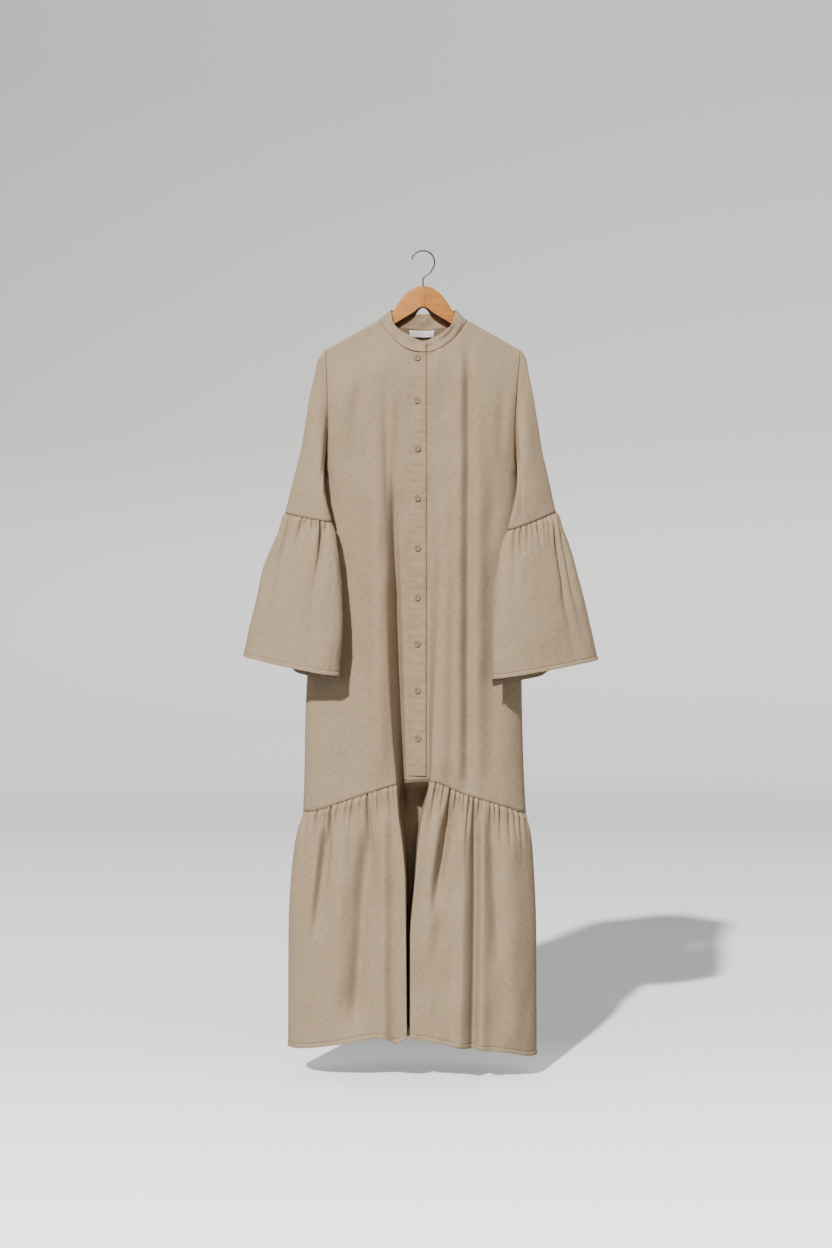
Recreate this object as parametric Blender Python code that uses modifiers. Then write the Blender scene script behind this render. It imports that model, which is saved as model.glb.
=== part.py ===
"""Long shirt dress hanging on a wooden hanger.

Origin: underside of the hook's crown, where a rod would carry it.
X runs to the picture's right, -Y is the front of the dress, Z is up.
Every table below is in millimetres; meshes are made in metres.
"""
import math
from collections import namedtuple

import bmesh
import bpy
import numpy as np

MM = 0.001

# Driving sizes
CLOTH = 1.6            # wall of every cut piece
PLACKET_WALL = 1.8
SEAM_GAP = 0.3         # distance kept between neighbouring pieces
SIDE_GAP = 0.35        # half distance kept at the shoulder and side seams
BODY_POWER = 2.2       # squareness of the body's section
SHOULDER_ROLL = 8.0    # height in which the cloth rolls over the hanger arm
SHOULDER_DROP = 110.0  # height in which the chest fills out below the shoulder
NECK_SIDE = 84.0       # half width of the neck seam at the shoulder
NECK_SIDE_Z = -132.0
SHOULDER_SLOPE = 0.57
NECK_FRONT_Z = -200.0
NECK_BACK_Z = -146.0
NECK_POWER = 2.2
UNDERARM_Z = -430.0
SHOULDER_TIP_Z = -190.7
TIP_RIM = 9.0          # how far the cloth stands off the middle plane on the hanger
ARMHOLE_RIM = 22.0     # the same at the armhole's widest place
NECK_NEAR = 82.3       # one column just inside the neck's corner
CENTRE_X = -11.0       # where the two fronts meet under the placket
PLACKET_LEFT = -28.0
PLACKET_RIGHT = 5.8
PLACKET_END = -1010.0
YOKE_Z = -260.0        # below this line all columns share the same heights
SKIRT_Z = -900.0       # above this line all columns share the same heights
LABEL_WIDTH = 48.0
LABEL_HEIGHT = 12.0
LABEL_WALL = 1.0
LABEL_TOP = -149.0
LABEL_CENTRE = -2.0
BUTTON_RADIUS = 6.0
BUTTON_WALL = 3.0
BUTTON_X = -11.0
BUTTON_PROBES = (-8, 0, 8)  # places across the placket where a button's back is kept clear
BUTTON_Z = (-212, -294, -386, -480, -575, -669, -757, -846, -937)
WOOD_THICKNESS = 12.0
HOOK_RADIUS = 1.5
HOOK_LOOP = 22.5
HOOK_STEM_END = -82.0
BORE_CLEARANCE = 0.3

# Outline of the body and skirt seen from the front, with its depth each way.
BodyRow = namedtuple("BodyRow", "z left right front back")
BODY = (
    BodyRow(-100, -187, 187, 44, 46),
    BodyRow(-190, -187, 187, 44, 46),
    BodyRow(-260, -185, 182, 50, 46),
    BodyRow(-346, -183, 177, 56, 48),
    BodyRow(-400, -186, 178, 60, 52),
    BodyRow(-430, -191, 182, 62, 54),
    BodyRow(-480, -194.5, 185, 64, 56),
    BodyRow(-560, -199, 187, 66, 59),
    BodyRow(-680, -212, 190, 69, 64),
    BodyRow(-840, -225, 191, 74, 68),
    BodyRow(-1080, -231.5, 199, 82, 76),
    BodyRow(-1128, -245, 209, 88, 84),
    BodyRow(-1186, -253, 214, 91, 87),
    BodyRow(-1311, -260, 219, 96, 92),
    BodyRow(-1560, -261, 220, 100, 98),
)

# The deep fold down the middle of the front, in which the placket lies.
ValleyRow = namedtuple("ValleyRow", "z left right depth left_wall right_wall")
VALLEY = (
    ValleyRow(-100, -73, 60, 0, 26, 34),
    ValleyRow(-240, -73, 60, 0, 26, 34),
    ValleyRow(-346, -70, 50, 3, 22, 32),
    ValleyRow(-480, -65, 42, 7, 12, 30),
    ValleyRow(-560, -62, 38, 11, 9, 26),
    ValleyRow(-660, -60, 33, 17, 7, 22),
    ValleyRow(-750, -60, 28, 22, 6, 17),
    ValleyRow(-900, -56, 20, 28, 6, 11),
    ValleyRow(-1025, -50.5, 13, 33, 6, 6),
    ValleyRow(-1090, -46, -2, 34, 6, 7),
    ValleyRow(-1130, -40, -8, 35, 6, 7),
    ValleyRow(-1205, -34, -15, 36, 6, 6),
    ValleyRow(-1315, -32.5, -24, 36, 3.6, 3.6),
    ValleyRow(-1560, -30.5, -24.5, 36, 2.6, 2.6),
)

# Soft folds: a ridge where height is above 0 and a trough where it is below.
FoldRow = namedtuple("FoldRow", "x_top z_top x_low z_low width height fade_in fade_out")
FRONT_FOLDS = (
    FoldRow(-92, -420, -72, -1040, 24, 7, 240, 90),
    FoldRow(50, -430, 34, -1040, 17, 6, 200, 60),
    FoldRow(88, -200, 84, -1045, 9, -6, 160, 60),
    FoldRow(72, -200, 66, -1045, 12, 4, 160, 60),
    FoldRow(-152, -460, -160, -1060, 30, 4, 200, 100),
    FoldRow(-180, -1078, -212, -1360, 9, -9, 60, 150),
    FoldRow(-102, -1060, -130, -1510, 17, -8, 40, 150),
    FoldRow(-66, -1060, -60, -1530, 12, 6, 60, 20),
    FoldRow(56, -1048, 14, -1290, 11, -10, 60, 120),
    FoldRow(36, -1060, 30, -1530, 16, 5, 80, 30),
    FoldRow(86, -1050, 74, -1530, 12, 8, 80, 20),
    FoldRow(102, -1050, 93, -1545, 9, -12, 90, 20),
    FoldRow(122, -1060, 140, -1400, 12, -6, 60, 140),
)
BACK_FOLDS = (
    FoldRow(-70, -260, -92, -1080, 20, -6, 260, 60),
    FoldRow(64, -280, 78, -1080, 18, -6, 260, 60),
    FoldRow(-4, -190, -10, -1080, 26, 5, 200, 60),
    FoldRow(-150, -1086, -176, -1540, 16, -9, 30, 60),
    FoldRow(-58, -1090, -76, -1540, 18, -11, 30, 30),
    FoldRow(30, -1090, 40, -1540, 18, -10, 30, 30),
    FoldRow(118, -1088, 136, -1540, 15, -9, 30, 60),
    FoldRow(-112, -1100, -126, -1540, 16, 6, 60, 30),
    FoldRow(76, -1100, 90, -1540, 16, 6, 60, 30),
)

# Height of the skirt seam and of the hem across the front and the back.
EdgeRow = namedtuple("EdgeRow", "x seam hem")
FRONT_EDGES = (
    EdgeRow(-262, -1080, -1531),
    EdgeRow(-231, -1080, -1527),
    EdgeRow(-147, -1055, -1510),
    EdgeRow(-104, -1040, -1500),
    EdgeRow(-73, -1030, -1496),
    EdgeRow(-52, -1024, -1508),
    EdgeRow(-28, -1020, -1498),
    EdgeRow(12, -1018, -1504),
    EdgeRow(77, -1041, -1518),
    EdgeRow(158, -1068, -1531),
    EdgeRow(199, -1082, -1543),
    EdgeRow(221, -1082, -1548),
)
BACK_EDGES = (
    EdgeRow(-262, -1080, -1531),
    EdgeRow(-231, -1080, -1533),
    EdgeRow(0, -1090, -1540),
    EdgeRow(199, -1082, -1545),
    EdgeRow(221, -1082, -1548),
)

# Stand collar, from the centre front round one side to the centre back.
CollarRow = namedtuple("CollarRow", "turn seam_x top_x top_y top_z")
COLLAR = (
    CollarRow(0, 0, 0, -23, -181),
    CollarRow(25, 30, 28, -24, -168),
    CollarRow(50, 58, 51, -19, -150),
    CollarRow(70, 75, 59, -14, -133),
    CollarRow(82, 81.5, 61.5, -8.5, -119),
    CollarRow(90, 84, 61.5, 0, -114),
    CollarRow(115, 75, 53, 13, -113),
    CollarRow(140, 52, 37, 22, -115),
    CollarRow(180, 0, 0, 26, -117),
)
COLLAR_LAP = 3.1       # the outer end lies this far in front of the inner one

# Rings of the sleeves and of the gathered cuffs, outer end to inner end.
TubeRow = namedtuple(
    "TubeRow", "down outer_x outer_y outer_z inner_x inner_y inner_z front back"
)
SLEEVE_END = {
    "right": TubeRow(0, -262.5, -14, -507, -176, -64, -527, 20, 11),
    "left": TubeRow(0, 253, -14, -503.5, 163, -64, -542, 20, 11),
}
CUFF = {
    "right": (
        TubeRow(0.12, -279, -15, -543, -164, -74, -562, 28, 18),
        TubeRow(0.3, -299, -16, -597, -155.5, -86, -618, 34, 24),
        TubeRow(0.6, -321, -18, -683, -152.5, -98, -705, 38, 28),
        TubeRow(1.0, -341, -20, -780, -157.5, -106, -817, 41, 30),
    ),
    "left": (
        TubeRow(0.12, 269, -15, -540, 148, -74, -574, 28, 18),
        TubeRow(0.3, 288, -16, -595, 137, -86, -628, 34, 24),
        TubeRow(0.6, 310, -18, -684, 131, -98, -713, 38, 28),
        TubeRow(1.0, 334, -20, -787, 131, -106, -822, 41, 30),
    ),
}
TUBE_POWER = 2.2
SLEEVE_STRAIGHT = 5.0  # the sleeve's last stretch runs square to the cuff seam
ARMHOLE_LIP = 1.7      # the sleeve leaves the armhole edge straight outwards
LIP_SHARE = 0.006      # share of the sleeve's length taken by that lip
LIP_END = 0.3          # share of the sleeve's length at which the lip has faded out
UNDERARM_GAP = 0.6     # the sleeve stands this much further off under the arm
UNDERARM_OUT = 2.0     # the sleeve's lower side goes round the body
UNDERARM_BACK_OUT = 15.0
UNDERARM_FORWARD = 27.0
UNDERARM_BACK_SHARE = 0.45  # share of that forward reach which the back layer keeps
BELLY_START = 0.8      # under 1 lets the underarm bulge start steeply
BACK_CUFF_DROP = 16.0  # the back of each cuff hangs lower than its front

# Wooden hanger arm: upper and lower edge of its front face.
ArmRow = namedtuple("ArmRow", "x top bottom undercut")
ARM = (
    ArmRow(0.15, -66.6, -107.5, 0.0),
    ArmRow(8, -67.6, -110.5, 2.0),
    ArmRow(18, -71.0, -118.5, 9.0),
    ArmRow(30, -78.5, -126.0, 11.0),
    ArmRow(41, -90.5, -132.5, 11.0),
    ArmRow(50, -104.0, -138.0, 11.0),
    ArmRow(56, -113.0, -141.5, 11.0),
    ArmRow(63, -121.5, -145.5, 10.0),
    ArmRow(72, -128.5, -150.0, 8.0),
    ArmRow(84, -135.6, -156.5, 6.0),
    ArmRow(120, -155.4, -173.5, 2.0),
    ArmRow(160, -178.0, -194.0, 0.0),
    ArmRow(178, -188.3, -202.0, 0.0),
    ArmRow(182.5, -193.5, -201.0, 0.0),
)

# Rows of the panels: heights, then drops below the shoulder or neck seam
PANEL_LEVELS = (-810, -720, -630, -540, -480, UNDERARM_Z, -388, -345, -300)
SHOULDER_STEPS = (32.0, 17.0, 9.0, 5.0, 2.2, 0.8, 0.12, 0.0)
# Columns of the panels
SIDE_STEPS = 9
SIDE_TURN = 1.45       # a little under a quarter turn, shared by the side columns
SEAM_SHARE = 0.9995    # the last column stands this near to the side seam
ARMHOLE_SHARE = 0.0125  # and this much further off beside the armhole
WALL_STEPS = 2
PLACKET_CLEAR = 1.5    # the fold's wall starts this far beside the placket
BACK_SHARES = (0.155, 0.29, 0.4)         # between the middle and the neck's corner
BACK_OUTER_SHARES = (0.59, 0.71, 0.82, 0.91, 0.965)
FLOOR_SHARES = (0.14, 0.3, 0.5, 0.7, 0.86)

# Gathers, as crests and troughs whose size and length vary from one to the next
FRONT_GATHERS = 13     # on each half of the skirt's front
BACK_GATHERS = 24
CUFF_GATHERS = 17
GATHER_SWING = 3.0
GATHER_SWING_SPREAD = 1.3
GATHER_REACH = 0.2     # share of the way down at which a gather has mostly faded
GATHER_REACH_SPREAD = 0.13
GATHER_WANDER = 0.28   # of the distance between two neighbours
GATHER_SEAM_SHARE = 0.35  # swing at the seam itself, as a share of its full size
GATHER_GROWTH = 0.06   # share of the way down in which the swing becomes full
CUFF_REACH = 1.6       # the cuffs' gathers run this much further down
COLLAR_LAP_START = -52.0
COLLAR_LAP_RUN = 30.0

# Rows of the skirt, cuffs and sleeves, as shares of the way down
SKIRT_ROWS = (1.0, 0.8, 0.6, 0.42, 0.28, 0.17, 0.09, 0.03, 0.0)
CUFF_ROWS = (1.0, 0.8, 0.6, 0.42, 0.28, 0.16, 0.07, 0.0)
SLEEVE_ROWS = (1.0, 0.86, 0.72, 0.58, 0.44, 0.3, 0.18, 0.09, 0.035, LIP_SHARE, 0.0)
SLEEVE_COLUMNS = 22

# Hook: its arc starts at the tip and sweeps over the crown, then eases to the stem
HOOK_TIP_TURN = 165.0
HOOK_SWEEP = 205.0
HOOK_ARC_STEPS = 20
HOOK_NECK = 19.0
HOOK_NECK_STEPS = 6
BORE_TOP = -60.0
ARM_TOP_STEPS = 6
ARM_BACK_CHAMFER = 3.0
ARM_FRONT_CHAMFER = 2.0


def smoothstep(t):
    t = np.clip(t, 0.0, 1.0)
    return t * t * (3.0 - 2.0 * t)


def read(table, key, name, at):
    """Column `name` of a table at `at`, along smooth curves through its rows."""
    keys = np.array([getattr(row, key) for row in table], float)
    values = np.array([getattr(row, name) for row in table], float)
    if keys[0] > keys[-1]:
        keys = keys[::-1]
        values = values[::-1]
    slopes = np.diff(values) / np.diff(keys)
    inner = np.where(slopes[1:] * slopes[:-1] > 0, (slopes[1:] + slopes[:-1]) / 2, 0)
    limit = 2 * np.minimum(abs(slopes[1:]), abs(slopes[:-1]))
    inner = np.clip(inner, -limit, limit)
    tangents = np.concatenate(([slopes[0]], inner, [slopes[-1]]))
    at = np.clip(at, keys[0], keys[-1])
    i = int(np.clip(np.searchsorted(keys, at) - 1, 0, len(keys) - 2))
    span = keys[i + 1] - keys[i]
    t = (at - keys[i]) / span
    low = (2 * t ** 3 - 3 * t ** 2 + 1) * values[i]
    low += (t ** 3 - 2 * t ** 2 + t) * span * tangents[i]
    high = (3 * t ** 2 - 2 * t ** 3) * values[i + 1]
    high += (t ** 3 - t ** 2) * span * tangents[i + 1]
    return float(low + high)


def shoulder_z(x):
    return NECK_SIDE_Z - SHOULDER_SLOPE * (abs(x) - NECK_SIDE)


def top_z(x, side):
    """Upper edge of a body panel: neck seam, then shoulder seam."""
    if abs(x) >= NECK_SIDE:
        return shoulder_z(x)
    middle = NECK_FRONT_Z if side == "front" else NECK_BACK_Z
    rise = NECK_SIDE_Z - middle
    return middle + rise * (abs(x) / NECK_SIDE) ** NECK_POWER


def section(x, z):
    """Place across the body, 0 in the middle and 1 at the side, and its half width."""
    left = read(BODY, "z", "left", z)
    right = read(BODY, "z", "right", z)
    half = (right - left) / 2
    across = min(abs(x - (left + right) / 2) / half, 1.0)
    return across, half


def rim(z):
    """How far the armhole edge stands off the middle plane."""
    middle = (SHOULDER_TIP_Z + UNDERARM_Z) / 2
    half = (SHOULDER_TIP_Z - UNDERARM_Z) / 2
    if z <= UNDERARM_Z:
        return 0.0
    if z < middle:
        return ARMHOLE_RIM * math.sqrt(1.0 - ((z - middle) / half) ** 2)
    share = float(smoothstep((SHOULDER_TIP_Z - z) / half))
    return TIP_RIM + (ARMHOLE_RIM - TIP_RIM) * share


def shoulder_roll(x, z):
    """0 on the shoulder line, 1 where the cloth has rolled over the hanger arm."""
    drop = max(shoulder_z(x) - z, 0.0)
    rolled = 1.0 - min(drop / SHOULDER_ROLL, 1.0)
    return math.sqrt(1.0 - rolled * rolled)


def valley(x, z):
    left = read(VALLEY, "z", "left", z)
    right = read(VALLEY, "z", "right", z)
    into_left = smoothstep((x - left) / read(VALLEY, "z", "left_wall", z))
    into_right = smoothstep((right - x) / read(VALLEY, "z", "right_wall", z))
    return read(VALLEY, "z", "depth", z) * float(into_left * into_right)


def soft_folds(rows, x, z):
    total = 0.0
    for row in rows:
        along = (row.z_top - z) / (row.z_top - row.z_low)
        centre = row.x_top + (row.x_low - row.x_top) * along
        strength = smoothstep((row.z_top - z) / row.fade_in)
        strength *= smoothstep((z - row.z_low) / row.fade_out)
        total += row.height * strength * math.exp(-((x - centre) / row.width) ** 2)
    return float(total)


def body_y(x, z, side):
    """Outer face of the front or of the back at one place."""
    across, _ = section(x, z)
    bulge = (1.0 - across ** BODY_POWER) ** (1.0 / BODY_POWER)
    bulge *= float(smoothstep((shoulder_z(x) - z) / SHOULDER_DROP))
    out = rim(z) * shoulder_roll(x, z) + (read(BODY, "z", side, z) - rim(z)) * bulge
    calm = float(smoothstep((1.0 - across) / 0.1))
    if side == "front":
        out += soft_folds(FRONT_FOLDS, x, z) * calm - valley(x, z)
        return -max(out, SIDE_GAP)
    out += soft_folds(BACK_FOLDS, x, z) * calm
    return max(out, SIDE_GAP)


def across_normal(x, z, side):
    """Level direction that points out of the body's section."""
    left = read(BODY, "z", "left", z)
    right = read(BODY, "z", "right", z)
    across, half = section(x, z)
    sign = 1.0 if x > (left + right) / 2 else -1.0
    depth = read(BODY, "z", side, z)
    nx = sign * across ** (BODY_POWER - 1) / half
    ny = (1.0 - across ** BODY_POWER) ** ((BODY_POWER - 1) / BODY_POWER) / depth
    size = math.hypot(nx, ny)
    return nx / size, (-ny if side == "front" else ny) / size


def gather_nodes(count, seed, ends_flat):
    """Crests and troughs of a gathered edge: place, swing and reach of each."""
    nodes = []
    steps = 2 * count
    for k in range(steps + 1):
        wander = GATHER_WANDER * math.sin(12.9898 * k + seed)
        inside = 0 < k < steps
        place = (k + (wander if inside else 0.0)) / steps
        swing = GATHER_SWING + GATHER_SWING_SPREAD * math.sin(4.1 * k + 2.0 * seed)
        if k % 2 == 0:
            swing = -swing
        reach = GATHER_REACH + GATHER_REACH_SPREAD * math.sin(7.3 * k + seed)
        if ends_flat and not inside:
            swing = 0.0
        nodes.append((place, swing, reach))
    return nodes


def gather_swing(swing, reach, down):
    """Out and in movement of one crest or trough at a share of the way down."""
    grown_share = float(smoothstep(down / GATHER_GROWTH))
    grow = GATHER_SEAM_SHARE + (1.0 - GATHER_SEAM_SHARE) * grown_share
    return swing * grow * math.exp(-((down / reach) ** 1.5))


def make_material(name, colour, roughness, metallic=0.0):
    material = bpy.data.materials.new(name)
    material.use_nodes = True
    shader = material.node_tree.nodes["Principled BSDF"]
    shader.inputs["Base Color"].default_value = (*colour, 1.0)
    shader.inputs["Roughness"].default_value = roughness
    shader.inputs["Metallic"].default_value = metallic
    return material


def make_collection(name):
    collection = bpy.data.collections.new(name)
    bpy.context.scene.collection.children.link(collection)
    return collection


def adopt(obj, name, material, collection):
    """Give a new object its name, material and collection."""
    obj.name = name
    obj.data.name = name
    obj.data.materials.clear()
    obj.data.materials.append(material)
    for old in list(obj.users_collection):
        old.objects.unlink(obj)
    collection.objects.link(obj)
    return obj


def cloth_sheet(name, grid, wall, outward, closed, material, collection):
    """Cloth over a grid of points (rows go up, columns go round), as a thin wall."""
    rows = len(grid)
    columns = len(grid[0])
    bpy.ops.mesh.primitive_grid_add(
        x_subdivisions=columns - 1, y_subdivisions=rows - 1, size=1.0
    )
    obj = bpy.context.active_object
    for vertex in obj.data.vertices:
        column = round((vertex.co.x + 0.5) * (columns - 1))
        row = round((vertex.co.y + 0.5) * (rows - 1))
        vertex.co = [value * MM for value in grid[row][column]]
    if closed:
        mesh = bmesh.new()
        mesh.from_mesh(obj.data)
        bmesh.ops.remove_doubles(mesh, verts=mesh.verts, dist=0.00001)
        mesh.to_mesh(obj.data)
        mesh.free()
    solid = obj.modifiers.new("Wall", "SOLIDIFY")
    solid.thickness = wall * MM
    solid.offset = 1.0 if outward else -1.0
    solid.use_even_offset = False
    obj.data.shade_smooth()
    return adopt(obj, name, material, collection)


def panel_heights(x, side):
    """Heights of a panel's rows at one column, from the skirt seam to the top."""
    edges = FRONT_EDGES if side == "front" else BACK_EDGES
    seam = read(edges, "x", "seam", x)
    placket_share = (PLACKET_END - SKIRT_Z) / (read(edges, "x", "seam", CENTRE_X) - SKIRT_Z)
    heights = [SKIRT_Z + (seam - SKIRT_Z) * share for share in (1.0, placket_share, 0.45)]
    heights += [SKIRT_Z, *PANEL_LEVELS, YOKE_Z]
    top = top_z(x, side)
    heights.append(YOKE_Z + (top - YOKE_Z) * 0.35)
    heights += [top - drop for drop in SHOULDER_STEPS]
    return heights


def edge_share(z):
    """Place of the last column before a side: beside the seam, or at the armhole."""
    return SEAM_SHARE - ARMHOLE_SHARE * float(smoothstep((z - UNDERARM_Z) / 30.0))


def front_columns(half):
    """Each column of a front as (guide, share): floor, wall or side of the fold."""
    columns = []
    for share in (0.0, 1.0):
        columns.append(("placket", share))
    for step in range(WALL_STEPS + 1):
        columns.append(("wall", step / WALL_STEPS))
    edge = abs(VALLEY[0].left if half == "right" else VALLEY[0].right)
    reach = BODY[0].right - edge
    columns.append(("side", (NECK_NEAR - edge) / reach))
    columns.append(("side", (NECK_SIDE - edge) / reach))
    steps = SIDE_STEPS + (1 if half == "left" else 0)
    for step in range(2, steps):
        columns.append(("side", math.sin(SIDE_TURN * step / steps)))
    columns.append(("beside seam", 1.0))
    columns.append(("side", 1.0))
    return columns


def front_x(column, z, half):
    guide, share = column
    sign = -1 if half == "right" else 1
    centre = CENTRE_X + sign * SIDE_GAP / 2
    edge = read(VALLEY, "z", "left" if half == "right" else "right", z)
    wall = read(VALLEY, "z", "left_wall" if half == "right" else "right_wall", z)
    placket = PLACKET_LEFT if half == "right" else PLACKET_RIGHT
    if guide == "placket":
        return centre + (placket - centre) * share
    if guide == "wall":
        foot = edge - sign * wall
        if half == "right":
            foot = min(foot, placket - PLACKET_CLEAR)
        else:
            foot = max(foot, placket + PLACKET_CLEAR)
        return foot + (edge - foot) * share
    if guide == "beside seam":
        share = edge_share(z)
    side = read(BODY, "z", "left" if half == "right" else "right", z)
    return edge + (side - edge) * share


def front_grid(half):
    columns = front_columns(half)
    rows = len(panel_heights(0.0, "front"))
    grid = []
    for row in range(rows):
        line = []
        for column in columns:
            z = panel_heights(front_x(column, YOKE_Z, half), "front")[row]
            for _ in range(6):
                x = front_x(column, z, half)
                z = panel_heights(x, "front")[row]
            line.append((x, body_y(x, z, "front"), z))
        grid.append(line)
    if half == "right":
        grid = [line[::-1] for line in grid]
    return grid


def back_shares():
    """Columns of the back, from one side to the other, with two at each neck corner."""
    neck = NECK_SIDE / BODY[0].right
    near = NECK_NEAR / BODY[0].right
    half = [*BACK_SHARES, near, neck, *BACK_OUTER_SHARES]
    return [-1.0, None] + [-share for share in reversed(half)] + [0.0] + half + [None, 1.0]


def back_grid():
    shares = back_shares()
    rows = len(panel_heights(0.0, "back"))
    grid = []
    for row in range(rows):
        line = []
        for index, share in reversed(list(enumerate(shares))):
            z = YOKE_Z
            for _ in range(6):
                left = read(BODY, "z", "left", z)
                right = read(BODY, "z", "right", z)
                if share is None:
                    share_here = edge_share(z) * (-1 if index == 1 else 1)
                else:
                    share_here = share
                x = (left + right) / 2 + (right - left) / 2 * share_here
                z = panel_heights(x, "back")[row]
            line.append((x, body_y(x, z, "back"), z))
        grid.append(line)
    return grid


def placket_grid(right_front, left_front):
    """The placket lies on the fronts: their own points, moved out."""
    grid = []
    for right_row, left_row in zip(right_front, left_front):
        if right_row[-1][2] < PLACKET_END - 1.0:
            continue
        line = [right_row[-2], right_row[-1], left_row[1]]
        grid.append([(x, y - SEAM_GAP, z) for x, y, z in line])
    return grid


def collar_top(x, side):
    """Top edge of the band above a place on the neck seam."""
    turns = np.linspace(0.0, 90.0, 91) if side == "front" else np.linspace(180.0, 90.0, 91)
    seam = [read(COLLAR, "turn", "seam_x", turn) for turn in turns]
    turn = float(np.interp(abs(x), seam, turns))
    top_x = math.copysign(read(COLLAR, "turn", "top_x", turn), x)
    return (top_x, read(COLLAR, "turn", "top_y", turn), read(COLLAR, "turn", "top_z", turn))


def collar_grid(right_front, left_front, back):
    """Inner face of the band. Its foot follows the neck edge of the panels."""
    def neck(line, side):
        return [(point, side) for point in line if abs(point[0]) < NECK_SIDE + 0.5]

    seam = neck(left_front[-1], "front") + neck(back[-1], "back")[1:-1]
    seam += neck(right_front[-1], "front") + neck(left_front[-1], "front")[:2]
    grid = [[], [], []]
    for index, ((x, y, z), side) in enumerate(seam):
        top = collar_top(x, side)
        past = index > len(seam) / 2 and side == "front"
        lapped = float(smoothstep((x - COLLAR_LAP_START) / COLLAR_LAP_RUN))
        lap = COLLAR_LAP * lapped if past else 0.0
        foot = (x, y, z + 2 * SEAM_GAP)
        for row, up in enumerate((0.0, 0.5, 1.0)):
            point = [a + (b - a) * up for a, b in zip(foot, top)]
            point[1] -= lap
            grid[row].append(tuple(point))
    return grid


def armhole_point(turn, half, front_edge, back_edge):
    """Armhole edge: turn 0 is the shoulder tip, a quarter turn is the front."""
    middle = (SHOULDER_TIP_Z + UNDERARM_Z) / 2
    z = middle + (SHOULDER_TIP_Z - UNDERARM_Z) / 2 * math.cos(turn)
    edge = front_edge if math.sin(turn) >= 0 else back_edge
    heights = [point[2] for point in edge]
    x = float(np.interp(z, heights, [point[0] for point in edge]))
    y = float(np.interp(z, heights, [point[1] for point in edge]))
    low = math.sin(turn / 2) ** 8
    outward = SEAM_GAP + UNDERARM_GAP * low
    return (x - outward if half == "right" else x + outward, y, z)


def ring_point(row, turn, swing=0.0):
    """A point of a flattened ring: turn 0 is its outer end, a quarter is its front."""
    outer = np.array((row.outer_x, row.outer_y, row.outer_z), float)
    inner = np.array((row.inner_x, row.inner_y, row.inner_z), float)
    middle = (outer + inner) / 2
    along = (outer - inner) / 2
    level = math.hypot(along[0], along[1])
    forward = np.array((-along[1], along[0], 0.0)) / level
    if forward[1] > 0:
        forward = -forward
    cosine = math.copysign(abs(math.cos(turn)) ** (2 / TUBE_POWER), math.cos(turn))
    sine = math.copysign(abs(math.sin(turn)) ** (2 / TUBE_POWER), math.sin(turn))
    thick = row.front if sine > 0 else row.back
    out = along * math.cos(turn) / level + forward * math.sin(turn)
    return middle + along * cosine + forward * sine * thick + out * swing


def ring_axis(row):
    """Direction up the tube, square to the ring."""
    outer = np.array((row.outer_x, row.outer_y, row.outer_z), float)
    inner = np.array((row.inner_x, row.inner_y, row.inner_z), float)
    along = outer - inner
    level = np.array((-along[1], along[0], 0.0))
    axis = np.cross(along, level)
    axis /= np.linalg.norm(axis)
    return axis if axis[2] > 0 else -axis


def sleeve_grid(half, front, back):
    """From the cuff seam up to the armhole, round the side of the body."""
    end = SLEEVE_END[half]
    front_edge = [line[0 if half == "right" else -1] for line in front]
    back_edge = [line[-1 if half == "right" else 0] for line in back]
    away = -1.0 if half == "right" else 1.0
    straight = ring_axis(end) * SLEEVE_STRAIGHT
    grid = []
    for down in (None, *SLEEVE_ROWS):
        line = []
        for column in range(SLEEVE_COLUMNS + 1):
            turn = 2 * math.pi * (column % SLEEVE_COLUMNS) / SLEEVE_COLUMNS
            stop = ring_point(end, turn)
            if down is None:
                line.append(tuple(stop))
                continue
            start = np.array(armhole_point(turn, half, front_edge, back_edge))
            low = ((1.0 - math.cos(turn)) / 2) ** 1.5
            past_lip = max(down - LIP_SHARE, 0.0) / (1.0 - LIP_SHARE)
            belly = math.sin(math.pi * past_lip ** BELLY_START) * low
            behind = math.sqrt(max(-math.sin(turn), 0.0))
            out = (UNDERARM_OUT + UNDERARM_BACK_OUT * behind) * belly
            forward = UNDERARM_FORWARD * (1.0 - (1.0 - UNDERARM_BACK_SHARE) * behind) * belly
            lip = smoothstep(down / LIP_SHARE) * smoothstep((LIP_END - down) / LIP_END)
            bulge = np.array((away * (out + ARMHOLE_LIP * float(lip)), -forward, 0.0))
            line.append(tuple(start + (stop + straight - start) * down + bulge))
        grid.append(line if half == "right" else line[::-1])
    return grid


def grown(row, wall):
    """The same ring with a wall's thickness added all round."""
    outer = np.array((row.outer_x, row.outer_y, row.outer_z), float)
    inner = np.array((row.inner_x, row.inner_y, row.inner_z), float)
    along = (outer - inner) / np.linalg.norm(outer - inner) * wall
    return TubeRow(row.down, *(outer + along), *(inner - along), row.front + wall, row.back + wall)


def cuff_row(half, down):
    rows = (grown(SLEEVE_END[half], CLOTH),) + CUFF[half]
    return TubeRow(*[read(rows, "down", name, down) for name in TubeRow._fields])


def back_cuff_drop(turn, down):
    """The back layer hangs lower from its inner end to a fold past its middle."""
    share = (turn / (2 * math.pi)) % 1.0
    lower = smoothstep((share - 0.5) / 0.06) * smoothstep((0.80 - share) / 0.05)
    return BACK_CUFF_DROP * float(lower) * down ** 2


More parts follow.
